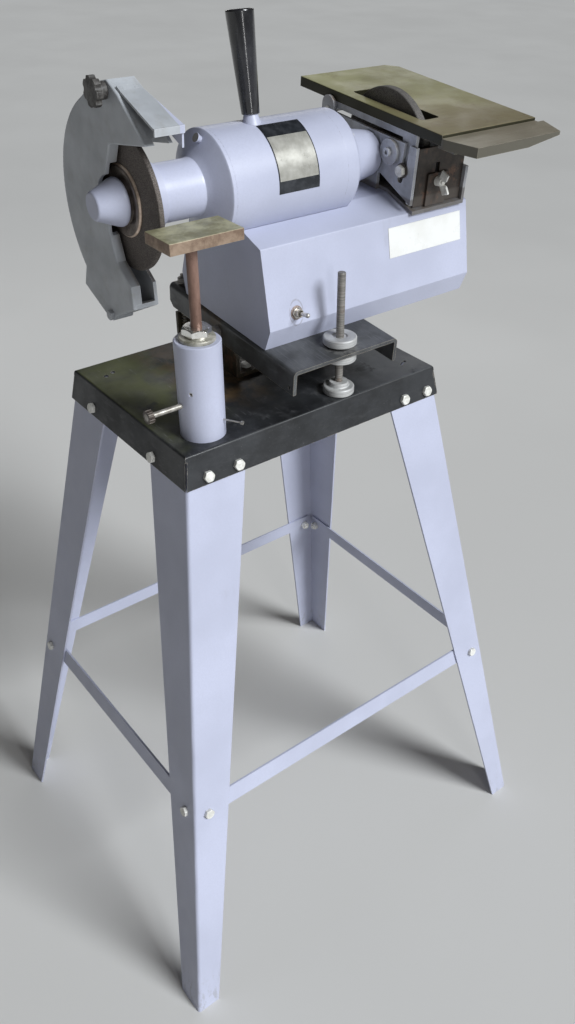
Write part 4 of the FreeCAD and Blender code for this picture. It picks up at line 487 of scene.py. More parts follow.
@own_name
def channel_dark(name):
    """Dark finish of the rocking channel, rubbed bright along its edges and under the nuts."""
    base = paint("channel")
    m = Finish(name)
    stop = m.split(m.centred(STOP_AXIS))
    m.tone = m.clouds((20.0, 5.0, 0.65), 0.32, 0.70, shade(base, 0.70), shade(base, 1.55))
    lines = m.spots(0.52, 0.72, 70.0, 4.0, 0.6, (12.0, 0.5, 1.0))
    m.stain(lines, 0.40, (0.21, 0.22, 0.23))
    brown = m.spots(0.50, 0.70, 12.0, 5.0, 0.7)
    back = m.ramp(m.split(m.place)[1], -0.06, 0.03)
    m.stain(brown, back, (0.115, 0.080, 0.045))
    rubbed = m.times(m.ramp(m.reach(stop[0], stop[1]), 0.030, 0.018), m.spots(0.35, 0.60, 160.0, 4.0))
    m.stain(rubbed, 0.6, (0.30, 0.29, 0.28))
    worn = m.worn(0.0015, (120.0, 4.0, 0.7), 0.34, 0.50, 0.10)
    m.cover(worn, (0.42, 0.38, 0.32))
    metal = m.calc("ADD", m.times(worn, 0.7), 0.15)
    rough = m.uneven(36.0, 4.0, 0.30, 0.48)
    skin = m.bump(m.noise(260.0, 4.0, 0.6), 0.18, 0.0005)
    return m.done(rough, metal, skin)


@own_name
def oiled_iron(name):
    """Old iron under oil and dirt, with rust in blotches."""
    base = paint("iron")
    m = Finish(name)
    m.tone = m.clouds((26.0, 5.0, 0.7), 0.30, 0.70, shade(base, 0.55), shade(base, 1.7))
    rust = m.spots(0.50, 0.66, 48.0, 6.0, 0.72)
    m.stain(rust, 0.65, paint("rust"))
    worn = m.worn(0.0012, (140.0, 4.0), 0.40, 0.56)
    m.stain(worn, 0.7, (0.28, 0.23, 0.17))
    return m.done(m.uneven(40.0, 4.0, 0.38, 0.64), 0.25, m.bump(m.noise(210.0, 5.0, 0.7), 0.45, 0.0007))


def table_steel(name, light, dark, front_brown, side_shade):
    """Ground steel of the saw table under olive stain, browner towards the operator; faces that don't look
    up are painted darker as shade.
    """
    light = light or paint("table")
    m = Finish(name)
    m.tone = m.clouds((9.0, 4.0, 0.6), 0.32, 0.70, dark, light)
    wobble = m.times(m.calc("SUBTRACT", m.noise(13.0, 4.0), 0.5), 0.16)
    near = m.ramp(m.calc("ADD", m.split(m.place)[1], wobble), 0.06, -0.10)
    m.stain(near, front_brown, (0.235, 0.180, 0.115))
    blots = m.spots(0.56, 0.70, 34.0, 6.0, 0.7)
    m.stain(blots, 0.45, (0.165, 0.110, 0.065))
    ground = m.noise(90.0, 3.0, 0.5, (0.35, 14.0, 1.0))
    m.cover(m.times(m.ramp(ground, 0.35, 0.75), 0.22), shade(light, 1.35))
    # Painted shade: faces that don't look up take a darker copy of the stain.
    up = m.upward(0.3, 0.8)
    m.tone = m.blend(up, shade(dark, side_shade), m.tone)
    worn = m.worn(0.0012, (100.0, 4.0), 0.36, 0.56)
    m.stain(worn, 0.55, (0.42, 0.38, 0.30))
    rough = m.uneven(22.0, 4.0, 0.34, 0.52)
    skin = m.bump(ground, 0.10, FINE)
    pits = m.bump(m.noise(300.0, 4.0, 0.7), 0.22, 0.0004, skin)
    return m.done(rough, 0.35, pits)


@own_name
def zinc_bolt(name):
    """Zinc-plated bolts, gone milky, with dirt in their corners."""
    m = Finish(name)
    m.tone = m.clouds((150.0, 4.0), 0.32, 0.70, (0.66, 0.65, 0.60), (0.92, 0.91, 0.87))
    specks = m.spots(0.60, 0.72, 420.0, 4.0, 0.7)
    m.stain(specks, 0.6, (0.26, 0.22, 0.17))
    return m.done(m.uneven(200.0, 3.0, 0.30, 0.48), 0.2, m.grain(650.0, 3.0, 0.16))


def turned_steel(name, tone_low, tone_high, rough_low, lathe_axis, rust, metal):
    """Bright turned steel with fine lathe rings and light rust."""
    m = Finish(name)
    stretch = [6.0, 6.0, 6.0]
    stretch[lathe_axis] = 160.0
    rings = m.noise(8.0, 3.0, 0.5, tuple(stretch))
    m.tone = m.blend(m.ramp(rings, 0.3, 0.7), tone_low, tone_high)
    spots = m.spots(0.54, 0.68, 85.0, 6.0, 0.72)
    m.stain(spots, rust, paint("rust"))
    rough = m.uneven(70.0, 4.0, rough_low, rough_low + 0.18)
    skin = m.bump(rings, 0.10, FINE)
    return m.done(rough, metal, skin)


@own_name
def rusty_rod(name):
    """Rod that was handled bare: brown rust with rubbed lengths."""
    m = Finish(name)
    long = m.noise(30.0, 6.0, 0.7, (1, 1, 0.22))
    m.tone = m.blend(m.ramp(long, 0.34, 0.66), (0.135, 0.075, 0.055), (0.30, 0.185, 0.145))
    deep = m.spots(0.55, 0.68, 120.0, 6.0, 0.75)
    m.stain(deep, 0.6, (0.085, 0.045, 0.030))
    rubbed = m.spots(0.58, 0.72, 55.0, 4.0, 0.6, (1, 1, 0.12))
    m.stain(rubbed, 0.35, (0.42, 0.34, 0.29))
    return m.done(m.uneven(90.0, 4.0, 0.36, 0.62), 0.35, m.bump(m.noise(420.0, 5.0, 0.7), 0.45, 0.0004))


@own_name
def rest_steel(name):
    """The tool rest: olive stained on top and rusty at the sides."""
    m = Finish(name)
    up = m.upward(0.35, 0.85)
    olive = m.clouds((38.0, 5.0, 0.65), 0.35, 0.68, (0.29, 0.27, 0.165), (0.58, 0.555, 0.37))
    brown = m.clouds((52.0, 5.0, 0.7), 0.35, 0.68, (0.19, 0.125, 0.085), (0.38, 0.28, 0.205))
    m.tone = m.blend(up, brown, olive)
    m.stain(m.edges(0.0016, 0.01, 0.12), 0.30, (0.46, 0.42, 0.30))
    return m.done(m.uneven(60.0, 4.0, 0.34, 0.54), 0.30, m.bump(m.noise(260.0, 5.0, 0.7), 0.30, 0.0005))


def grinding_stone(name, base, glaze):
    """Bonded grit: coarse grains, dark with swarf."""
    m = Finish(name)
    grain = m.cells(850.0)
    m.tone = m.blend(m.ramp(grain, 0.15, 0.75), shade(base, 1.35), shade(base, 0.60))
    sparkle = m.spots(0.60, 0.72, 1300.0, 2.0)
    m.stain(sparkle, 0.45, (0.42, 0.38, 0.34))
    swarf = m.spots(0.40, 0.68, 28.0, 5.0, 0.65)
    m.stain(swarf, 0.55, glaze)
    grit = m.bump(grain, 0.55, 0.0007)
    wear = m.grain(70.0, 3.0, 0.25, 0.0010, grit)
    return m.done(0.78, 0.0, wear)


@own_name
def handle_plastic(name):
    """Moulded black plastic, glossy, with fine handling scratches."""
    m = Finish(name)
    m.tone = m.clouds((30.0, 4.0), 0.35, 0.70, (0.012, 0.012, 0.014), (0.0264, 0.0264, 0.0308))
    scratch = m.spots(0.62, 0.72, 45.0, 3.0, 0.5, (14.0, 14.0, 0.8))
    m.stain(scratch, 0.30, (0.085, 0.085, 0.090))
    roughness = m.ramp(m.noise(50.0, 4.0), 0.3, 0.75, 0.20, 0.34)
    skin = m.grain(500.0, 3.0, 0.06)
    return m.done(roughness, 0.0, skin, Coat_Weight=0.90, Coat_Roughness=0.09)


@own_name
def knob_plastic(name):
    """Dull dusty knob."""
    m = Finish(name)
    m.tone = m.clouds((120.0, 5.0, 0.7), 0.38, 0.68, (0.035, 0.032, 0.030), (0.115, 0.108, 0.102))
    m.stain(m.edges(0.0016, 0.02, 0.20), 0.45, (0.20, 0.19, 0.18))
    return m.done(m.uneven(90.0, 3.0, 0.42, 0.62), 0.0, m.grain(420.0, 4.0, 0.25, 0.0005))


@own_name
def chrome_nut(name):
    """Plated nut with a few dull spots."""
    m = Finish(name)
    dull = m.spots(0.52, 0.70, 170.0, 5.0, 0.7)
    m.tone = m.blend(m.times(dull, 0.6), (0.88, 0.87, 0.84), (0.42, 0.38, 0.31))
    return m.done(m.ramp(m.noise(120.0, 4.0), 0.35, 0.75, 0.10, 0.30), 0.95, m.grain(500.0, 3.0, 0.08))


def old_plating(name, low_tone, high_tone):
    """Old plating, tarnished and handled."""
    m = Finish(name)
    m.tone = m.clouds((90.0, 5.0, 0.7), 0.35, 0.65, low_tone, high_tone)
    m.stain(m.edges(0.0010, 0.02, 0.2), 0.4, shade(high_tone, 1.3))
    return m.done(m.uneven(120.0, 4.0, 0.30, 0.50), 0.35, m.grain(420.0, 4.0, 0.20))


@own_name
def oil_cup(name):
    """Painted oil cup with a dark lid."""
    m = Finish(name)
    lid = m.ramp(m.along(m.facing, CUP_OUT), 0.90, 0.97)
    base = paint("machine")
    m.tone = m.clouds((120.0, 4.0), 0.35, 0.70, shade(base, 0.80), base)
    m.cover(lid, (0.20, 0.19, 0.18))
    skin = m.grain(420.0, 3.0, 0.15)
    return m.done(m.uneven(80.0, 3.0, 0.35, 0.55), 0.0, skin)


@own_name
def thumb_steel(name):
    """Thumb screw: bright shank and a dark knurled head."""
    m = Finish(name)
    across = m.reach(*m.split(m.centred(JOINTS["thumb_screw_turn"]["pos_m"]))[1:3])
    head = m.ramp(across, 0.0040, 0.0046)
    bright = m.clouds((120.0, 4.0), 0.35, 0.68, (0.26, 0.24, 0.21), (0.46, 0.44, 0.40))
    dark = m.clouds((150.0, 4.0), 0.35, 0.68, (0.045, 0.036, 0.030), (0.12, 0.10, 0.085))
    m.tone = m.blend(head, bright, dark)
    skin = m.grain(500.0, 4.0, 0.22)
    return m.done(m.uneven(90.0, 3.0, 0.34, 0.52), 0.45, skin)


@own_name
def flange_steel(name):
    """Flange stained dark brown, with its turned rim still bright."""
    m = Finish(name)
    _, y, z = m.split(m.centred(SHAFT, HEAD_PITCH))
    rim = m.ramp(m.reach(y, z), FLANGE_RIM - 0.0022, FLANGE_RIM - 0.0010)
    stain = m.clouds((55.0, 5.0, 0.7), 0.35, 0.68, (0.10, 0.080, 0.068), (0.24, 0.205, 0.18))
    bright = m.clouds((90.0, 4.0), 0.35, 0.68, (0.62, 0.47, 0.37), (0.94, 0.78, 0.65))
    m.tone = m.blend(rim, stain, bright)
    skin = m.grain(300.0, 4.0, 0.16)
    return m.done(m.uneven(60.0, 3.0, 0.28, 0.46), 0.6, skin)


@own_name
def switch_plastic(name):
    """Black switch block with a nickel neck in front of the panel."""
    m = Finish(name)
    neck = m.ramp(m.along(m.centred(SWITCH_AT), SWITCH_OUT), -SWITCH_DEPTH, 0.001 - SWITCH_DEPTH)
    black = m.clouds((60.0, 4.0), 0.35, 0.70, (0.018, 0.017, 0.016), (0.045, 0.042, 0.040))
    nickel = m.clouds((150.0, 4.0), 0.35, 0.70, (0.42, 0.38, 0.33), (0.66, 0.62, 0.56))
    skin = m.grain(500.0, 3.0, 0.12)
    rough = m.uneven(70.0, 3.0, 0.30, 0.44)
    m.tone = m.blend(neck, black, nickel)
    return m.done(rough, m.times(neck, 0.8), skin)


@own_name
def label_white(name):
    """Bare white label with a little yellowing at its edge."""
    m = Finish(name)
    aged = m.spots(0.40, 0.72, 34.0, 4.0, 0.6)
    m.tone = m.blend(m.times(aged, 0.5), (0.80, 0.80, 0.785), (0.70, 0.695, 0.66))
    m.stain(m.edges(0.0012, 0.01, 0.15), 0.6, (0.44, 0.43, 0.40))
    return m.done(m.uneven(70.0, 3.0, 0.26, 0.40), 0.0, m.grain(220.0, 3.0, 0.05))


@own_name
def nameplate_blank(name):
    """Nameplate with nothing on it: black bands at both ends, bare grey field, thin rim."""
    m = Finish(name)
    x, y, z = m.split(m.centred((NAMEPLATE_MIDDLE, SHAFT.y, SHAFT.z), HEAD_PITCH))
    angle = m.times(m.calc("ARCTAN2", z, y), 180.0 / math.pi)
    grey = m.clouds((150.0, 4.0, 0.6), 0.35, 0.68, (0.40, 0.39, 0.35), (0.47, 0.46, 0.42))
    fade = m.noise(36.0, 5.0, 0.7, (0.3, 1, 1))
    grey = m.blend(m.times(m.ramp(fade, 0.50, 0.74), 0.3), grey, (0.60, 0.59, 0.56))
    black = m.clouds((90.0, 4.0), 0.4, 0.7, (0.012, 0.014, 0.018), (0.035, 0.038, 0.045))
    upper = m.calc("LESS_THAN", angle, NAMEPLATE_FIELD[0])
    lower = m.calc("GREATER_THAN", angle, NAMEPLATE_FIELD[1])
    side = m.calc("GREATER_THAN", m.calc("ABSOLUTE", x), NAMEPLATE_HALF - NAMEPLATE_RIM)
    dark = m.calc("MAXIMUM", m.calc("MAXIMUM", upper, lower), side)
    m.tone = m.blend(dark, grey, black)
    rough = m.uneven(60.0, 3.0, 0.26, 0.42)
    skin = m.grain(300.0, 3.0, 0.06)
    return m.done(rough, m.times(m.rest_of(dark), 0.35), skin)


def bracket_steel(name, base, dust_tone, dusty, rusty):
    """Bare steel of the table's bracket, brushed, with grinding dust on it and painted highlights along
    its edges.
    """
    m = Finish(name)
    m.tone = m.clouds((24.0, 5.0, 0.65), 0.32, 0.70, shade(base, 0.72), shade(base, 1.25))
    up = m.upward(0.2, 0.8)
    dust = m.times(m.spots(0.44, 0.60, 85.0, 6.0, 0.75), m.calc("ADD", dusty, up))
    m.cover(m.calc("MINIMUM", dust, 0.85), dust_tone)
    # Painted highlight: the edges take a lighter copy of the steel.
    m.stain(m.edges(0.0013, 0.01, 0.10), 0.60, shade(base, 1.8))
    foot = m.ramp(m.split(m.centred(SHAFT, HEAD_PITCH))[2], BRACKET_FOOT + 0.004, BRACKET_FOOT)
    m.stain(foot, 0.75, (0.110, 0.094, 0.082))
    rust = m.spots(0.52, 0.68, 38.0, 5.0, 0.7)
    m.stain(rust, rusty, (0.24, 0.125, 0.080))
    return m.done(m.uneven(42.0, 4.0, 0.34, 0.52), 0.25, m.bump(m.noise(240.0, 4.0, 0.65), 0.25, 0.0004))


def plain_metal(name, base):
    """Spring wire, and the sheets inside the motor that show only through gaps."""
    m = Finish(name)
    m.tone = m.clouds((90.0, 4.0), 0.35, 0.68, shade(base, 0.75), shade(base, 1.2))
    skin = m.grain(400.0, 3.0, 0.15)
    return m.done(m.uneven(50.0, 3.0, 0.38, 0.55), 0.8, skin)


@own_name
def matt_rubber(name):
    m = Finish(name)
    m.tone = m.clouds((140.0, 4.0), 0.40, 0.68, (0.018, 0.018, 0.018), (0.050, 0.048, 0.045))
    skin = m.grain(520.0, 4.0, 0.22)
    return m.done(m.uneven(80.0, 3.0, 0.62, 0.80), 0.0, skin)


@own_name
def pale_floor(name):
    m = Finish(name)
    m.tone = m.clouds((0.7, 3.0), 0.3, 0.7, (0.64, 0.63, 0.615), (0.67, 0.66, 0.645))
    skin = m.grain(60.0, 3.0, 0.02, 0.001)
    return m.done(m.uneven(2.0, 2.0, 0.60, 0.70), 0.0, skin)


FINISHES.update({
    "housing_enamel": (machine_enamel, True),
    "table_olive": (table_steel, None, (0.23, 0.215, 0.105), 0.75, 0.13),
    "rail_grey": (table_steel, (0.46, 0.44, 0.37), (0.28, 0.26, 0.205), 0.50, 0.50),
    "nut_grey": (turned_steel, (0.44, 0.44, 0.44), (0.62, 0.62, 0.61), 0.46, 2, 0.10, 0.4),
    "nickel": (turned_steel, (0.46, 0.44, 0.41), (0.72, 0.70, 0.66), 0.28, 2, 0.12, 0.9),
    "dull_rod": (turned_steel, (0.18, 0.170, 0.158), (0.34, 0.320, 0.295), 0.46, 2, 0.40, 0.5),
    "shaft_steel": (turned_steel, (0.42, 0.41, 0.40), (0.62, 0.61, 0.60), 0.26, 0, 0.20, 0.9),
    "grit_brown": (grinding_stone, (0.140, 0.120, 0.108), (0.074, 0.063, 0.057)),
    "grit_grey": (grinding_stone, (0.155, 0.145, 0.135), (0.085, 0.078, 0.074)),
    "post_plating": (old_plating, (0.24, 0.23, 0.18), (0.50, 0.48, 0.42)),
    "worn_washer": (old_plating, (0.20, 0.15, 0.13), (0.42, 0.34, 0.31)),
    "dark_washer": (old_plating, (0.035, 0.030, 0.026), (0.10, 0.085, 0.07)),
    "bracket_steel": (bracket_steel, (0.45, 0.465, 0.50), (0.34, 0.28, 0.23), 0.10, 0.12),
    "shield_brown": (bracket_steel, (0.040, 0.032, 0.027), (0.16, 0.115, 0.085), 0.15, 0.55),
    "spring_wire": (plain_metal, (0.18, 0.16, 0.12)),
    "laminations": (plain_metal, (0.24, 0.24, 0.25)),
})


def finish(name):
    """The named material, made once."""
    made = bpy.data.materials.get(name)
    if made:
        return made
    make, *values = FINISHES[name]
    return make(name, *values)


# Geometry

def solids_of(node):
    """A CAD node's solids as bmeshes, merged from its loose triangles."""
    whole = bmesh.new()
    whole.from_mesh(frame["nodes"][node].data)
    for layer in list(whole.loops.layers.uv):
        whole.loops.layers.uv.remove(layer)
    bmesh.ops.remove_doubles(whole, verts=whole.verts, dist=MERGE)
    bmesh.ops.dissolve_degenerate(whole, edges=whole.edges, dist=MERGE)
    whole.verts.index_update()
    solids = []
    taken = set()
    for first in whole.verts:
        if first.index in taken:
            continue
        wanted = {first.index}
        stack = [first]
        while stack:
            for edge in stack.pop().link_edges:
                for vert in edge.verts:
                    if vert.index not in wanted:
                        wanted.add(vert.index)
                        stack.append(vert)
        taken |= wanted
        copy = whole.copy()
        copy.verts.index_update()
        bmesh.ops.delete(copy, geom=[v for v in copy.verts if v.index not in wanted], context="VERTS")
        solids.append(copy)
    whole.free()
    return solids


def solid_box(bm):
    corners = [v.co for v in bm.verts]
    low = Vector(min(c[i] for c in corners) for i in range(3))
    high = Vector(max(c[i] for c in corners) for i in range(3))
    return low, high


def round_edges(bm, width, segments=2):
    """Rounds every sharp edge of a merged solid."""
    bmesh.ops.dissolve_limit(bm, angle_limit=FLAT, verts=bm.verts, edges=bm.edges)
    sharp = [e for e in bm.edges if len(e.link_faces) == 2 and e.calc_face_angle(0.0) > SHARP]
    if sharp and width > 0:
        bmesh.ops.bevel(
            bm, geom=sharp, offset=width, offset_type="OFFSET", segments=segments, profile=0.5,
            affect="EDGES", clamp_overlap=True, material=-1,
        )


def to_object(bms, name, material, body, nodes):
    """Joins bmeshes into one smooth-shaded piece that stands for CAD nodes."""
    mesh = bpy.data.meshes.new(name)
    whole = bmesh.new()
    for bm in bms:
        bm.to_mesh(mesh)
        whole.from_mesh(mesh)
        bm.free()
    for face in whole.faces:
        face.smooth = True
    for edge in whole.edges:
        edge.smooth = len(edge.link_faces) == 2 and edge.calc_face_angle(0.0) < SHARP
    whole.to_mesh(mesh)
    whole.free()
    piece = bpy.data.objects.new(name, mesh)
    bpy.context.scene.collection.objects.link(piece)
    mesh.materials.append(finish(material))
    weighted = piece.modifiers.new("even_shading", "WEIGHTED_NORMAL")
    weighted.keep_sharp = True
    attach(piece, body)
    if nodes:
        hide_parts(*nodes)
    return piece


def body_of(node):
    return frame["nodes"][node]["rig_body"]


def soften(node, material, width, name=None, pick=None, segments=2):
    """Stands in for a CAD node, or for those of its solids that pick accepts, with rounded edges."""
    solids = []
    for bm in solids_of(node):
        if pick is None or pick(*solid_box(bm)):
            round_edges(bm, width, segments)
            solids.append(bm)
        else:
            bm.free()
    if not solids:
        raise ValueError("nothing to soften in " + node)
    return to_object(solids, name or node + "_finished", material, body_of(node), [node])


def repaint(node, material):
    """Gives a CAD node a better material and leaves its mesh alone."""
    node_object = frame["nodes"][node]
    if not node_object.material_slots:
        raise ValueError(node + " has no material slot")
    for holder in node_object.material_slots:
        holder.material = finish(material)


def spun(profile, base, axis, steps=64):
    """Closed turned solid from (radius, height) points that start and end on the axis."""
    bm = bmesh.new()
    verts = [bm.verts.new((radius, 0.0, height)) for radius, height in profile]
    edges = [bm.edges.new(pair) for pair in zip(verts[:-1], verts[1:])]
    bmesh.ops.spin(
        bm, geom=verts + edges, cent=(0, 0, 0), axis=(0, 0, 1), dvec=(0, 0, 0),
        angle=math.tau, steps=steps, use_merge=True, use_duplicate=False,
    )
    bmesh.ops.remove_doubles(bm, verts=bm.verts, dist=MERGE)
    bmesh.ops.dissolve_degenerate(bm, edges=bm.edges, dist=MERGE)
    bmesh.ops.recalc_face_normals(bm, faces=bm.faces)
    turn = Vector((0, 0, 1)).rotation_difference(Vector(axis)).to_matrix().to_4x4()
    bmesh.ops.transform(bm, matrix=Matrix.Translation(base) @ turn, verts=bm.verts)
    return bm


def wound(foot, turn_r, wire_r, rise, turns, steps=28, sides=10):
    """Closed round wire wound upwards about a vertical axis that goes through foot."""
    bm = bmesh.new()
    count = turns * steps
    slope = math.atan2(rise, turns * math.tau * turn_r)
    rings = []
    for step in range(count + 1):
        angle = math.tau * step / steps
        out = Vector((math.cos(angle), math.sin(angle), 0))
        over = Vector((out.y * math.sin(slope), -out.x * math.sin(slope), math.cos(slope)))
        middle = foot + out * turn_r + Vector((0, 0, rise * step / count))
        ring = []
        for side in range(sides):
            share = math.tau * side / sides
            away = out * math.cos(share) + over * math.sin(share)
            ring.append(bm.verts.new(middle + away * wire_r))
        rings.append(ring)
    for below, above in zip(rings[:-1], rings[1:]):
        for side in range(sides):
            after = (side + 1) % sides
            bm.faces.new((below[side], below[after], above[after], above[side]))
    bm.faces.new(rings[0])
    bm.faces.new(rings[-1])
    bmesh.ops.recalc_face_normals(bm, faces=bm.faces)
    return bm


# Operators, one for each group of pieces

def tall(least):
    """Picks the solids of a node that are taller than least."""
    return lambda low, high: high.z - low.z > least


def flat(most, wide=0.0):
    """Picks the solids of a node that are no taller than most, and wider than wide."""
    return lambda low, high: high.z - low.z <= most and high.x - low.x > wide


def slim(most):
    """Picks the solids of a node that are narrower than most."""
    return lambda low, high: high.x - low.x < most


class Dresser:
    """Rounds each node in PIECES: node, finish, kind of edge, and the rest that soften takes."""
    PIECES = ()

    def execute(self, context):
        sizes = context.scene.sharpener_sizes
        for node, material, edge, *rest in self.PIECES:
            soften(node, material, getattr(sizes, edge + "_edge"), *rest)
        self.add_more()
        return {"FINISHED"}

    def add_more(self):
        """Pieces that aren't a rounded node, if the group has any."""


class SHARPENER_OT_stand(Dresser, bpy.types.Operator):
    """Finishes the legs, braces and their bolts"""
    bl_idname = "sharpener.stand"
    bl_label = "Stand"
    PIECES = (
        ("stand_legs", "machine_enamel", "sheet", "legs"),
        ("stand_braces", "machine_enamel", "sheet", "braces"),
        ("stand_bolts", "zinc_bolt", "turned", "bolts"),
        ("stand_nuts", "zinc_bolt", "turned", "nuts"),
    )


class SHARPENER_OT_tray(Dresser, bpy.types.Operator):
    """Finishes the tray, the screws in it and the rear pivot bracket, and winds its springs"""
    bl_idname = "sharpener.tray"
    bl_label = "Tray and pivot"
    PIECES = (
        ("tray", "oily_black", "sheet", "oily_tray"),
        ("tray_screws", "zinc_bolt", "turned", "tray_fasteners"),
        ("pivot_bracket", "oiled_iron", "sheet", "rear_bracket"),
        ("pivot_pin", "dull_rod", "turned", "rocking_pin"),
        ("spring_studs", "dull_rod", "turned", "studs"),
    )

    def add_more(self):
        low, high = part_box("rocking_springs")
        middle_y = (low.y + high.y) / 2
        outer = (high.y - low.y) / 2 + SPRING_WIRE * SPRING_SPARE
        rise = high.z - low.z - 2 * SPRING_WIRE
        for name, middle_x in (("left_spring", low.x + outer), ("right_spring", high.x - outer)):
            foot = Vector((middle_x, middle_y, low.z + SPRING_WIRE))
            coil = wound(foot, outer - SPRING_WIRE, SPRING_WIRE, rise, SPRING_TURNS)
            piece = to_object(
                [coil], name, "spring_wire", "stand", ["rocking_springs"]
            )
            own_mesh(piece)


class SHARPENER_OT_tool_rest(Dresser, bpy.types.Operator):
    """Finishes the post, its nut and screws, and the rod and plate of the tool rest"""
    bl_idname = "sharpener.tool_rest"
    bl_label = "Tool rest"
    PIECES = (
        ("rest_post", "machine_enamel", "turned", "post", tall(POST_LEAST)),
        ("rest_post", "post_plating", "turned", "post_washer", flat(POST_LEAST)),
        ("gland_nut", "chrome_nut", "nut", "gland"),
        ("rest_rod", "rusty_rod", "turned", "rod"),
        ("rest_plate", "rest_steel", "turned", "plate"),
        ("thumb_screw", "thumb_steel", "turned", "thumb_head"),
        ("post_set_screws", "nickel", "turned", "post_pins"),
    )


class SHARPENER_OT_stop(Dresser, bpy.types.Operator):
    """Finishes the stop rod and its round nuts"""
    bl_idname = "sharpener.stop"
    bl_label = "Stop rod"
    PIECES = (
        ("stop_rod", "dull_rod", "turned", "stop"),
        ("stop_rod_nuts", "nut_grey", "turned", "base_nut"),
        ("lower_stop_nut", "nut_grey", "turned", "lower_ring"),
        ("upper_stop_nut", "nut_grey", "turned", "upper_ring"),
    )


class SHARPENER_OT_base(Dresser, bpy.types.Operator):
    """Finishes the channel, the motor's base housing, its switch, label and screws"""
    bl_idname = "sharpener.base"
    bl_label = "Rocking base"
    PIECES = (
        ("head_channel", "channel_dark", "sheet", "channel"),
        ("motor_housing", "housing_enamel", "sheet", "base_shell"),
        ("housing_base", "channel_dark", "sheet", "base_floor"),
        ("head_screws", "zinc_bolt", "turned", "head_fasteners"),
        ("switch_body", "switch_plastic", "turned", "switch_block", tall(SWITCH_LEAST)),
        ("switch_body", "nickel", "turned", "switch_nut", slim(SWITCH_NUT)),
        ("switch_body", "worn_washer", "turned", "switch_washer", flat(SWITCH_LEAST, SWITCH_NUT)),
        ("switch_lever", "nickel", "turned", "toggle"),
        ("front_label", "label_white", "label", "blank_label"),
        ("cord_grommet", "matt_rubber", "turned", "grommet"),
    )


class SHARPENER_OT_motor(Dresser, bpy.types.Operator):
    """Finishes the motor's shell, its end bells, nameplate, fittings and inner parts"""
    bl_idname = "sharpener.motor"
    bl_label = "Motor"
    PIECES = (
        ("motor_shell", "machine_enamel", "shell", "shell"),
        ("left_end_bell", "machine_enamel", "cast", "left_bell"),
        ("right_end_bell", "machine_enamel", "shell", "right_bell"),
        ("motor_fittings", "oil_cup", "turned", "cup", lambda low, high: high.x < SHAFT.x),
        ("motor_fittings", "zinc_bolt", "turned", "bell_screws", lambda low, high: high.x > SHAFT.x),
        ("motor_nameplate", "nameplate_blank", "label", "blank_nameplate"),
        ("motor_cradle", "channel_dark", "sheet", "saddles"),
        ("spindle_shaft", "shaft_steel", "turned", "shaft"),
    )

    def add_more(self):
        repaint("stator", "laminations")
        repaint("rotor", "laminations")
        repaint("spindle_bearings", "shaft_steel")


class SHARPENER_OT_handle(bpy.types.Operator):
    """Turns the black pull handle and finishes its collar and stud"""
    bl_idname = "sharpener.handle"
    bl_label = "Pull handle"

    def execute(self, context):
        sizes = context.scene.sharpener_sizes
        low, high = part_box("pull_handle")
        lean = math.radians(HANDLE_LEAN) - HEAD_PITCH
        up = Vector((0, math.sin(lean), math.cos(lean)))
        foot_r, top_r, rim = sizes.grip_foot, sizes.grip_top, sizes.grip_round
        start = Vector(((low.x + high.x) / 2, low.y + foot_r * up.z, low.z + foot_r * up.y))
        length = (high.z - start.z - (top_r - rim) * up.y - rim) / up.z + rim - HANDLE_SPARE
        profile = [(0.0, 0.0)] + [(foot_r - inset, height) for inset, height in HANDLE_FOOT]
        foot = HANDLE_FOOT[-1][1]
        for step in range(1, HANDLE_STEPS):
            share = step / HANDLE_STEPS
            profile.append((foot_r + (top_r - foot_r) * share, foot + (length - rim - foot) * share))
        profile.append((top_r, length - rim))
        for step in range(1, RIM_STEPS + 1):
            angle = math.pi / 2 * step / RIM_STEPS
            profile.append((top_r - rim + rim * math.cos(angle), length - rim + rim * math.sin(angle)))
        profile += [(top_r * HANDLE_FLAT, length), (0.0, length)]
        grip = spun(profile, start, up)
        to_object([grip], "handle_grip", "handle_plastic", "head", ["pull_handle"])
        soften("handle_ferrule", "machine_enamel", sizes.turned_edge, "handle_boss")
        soften("handle_stud", "nickel", sizes.turned_edge, "handle_bolt")
        return {"FINISHED"}


class SHARPENER_OT_left_wheel(Dresser, bpy.types.Operator):
    """Finishes the left grinding wheel, its flanges and the cone-shaped nut"""
    bl_idname = "sharpener.left_wheel"
    bl_label = "Left wheel"
    PIECES = (
        ("grinding_wheel", "grit_brown", "cast", "left_stone"),
        ("wheel_flanges", "flange_steel", "turned", "flanges"),
        ("nose_cone_nut", "machine_enamel", "cone", "nose_cone", None, 4),
    )


class SHARPENER_OT_guard(Dresser, bpy.types.Operator):
    """Finishes the cast guard, its visor and its lobed knob"""
    bl_idname = "sharpener.guard"
    bl_label = "Guard"
    PIECES = (
        ("guard_body", "guard_enamel", "guard", "guard_casting"),
        ("guard_cover", "guard_enamel", "guard", "guard_lid"),
        ("guard_visor", "guard_enamel", "sheet", "visor"),
        ("guard_screws", "guard_enamel", "turned", "guard_fasteners"),
        ("guard_knob", "knob_plastic", "cast", "lobed_knob", None, 3),
    )


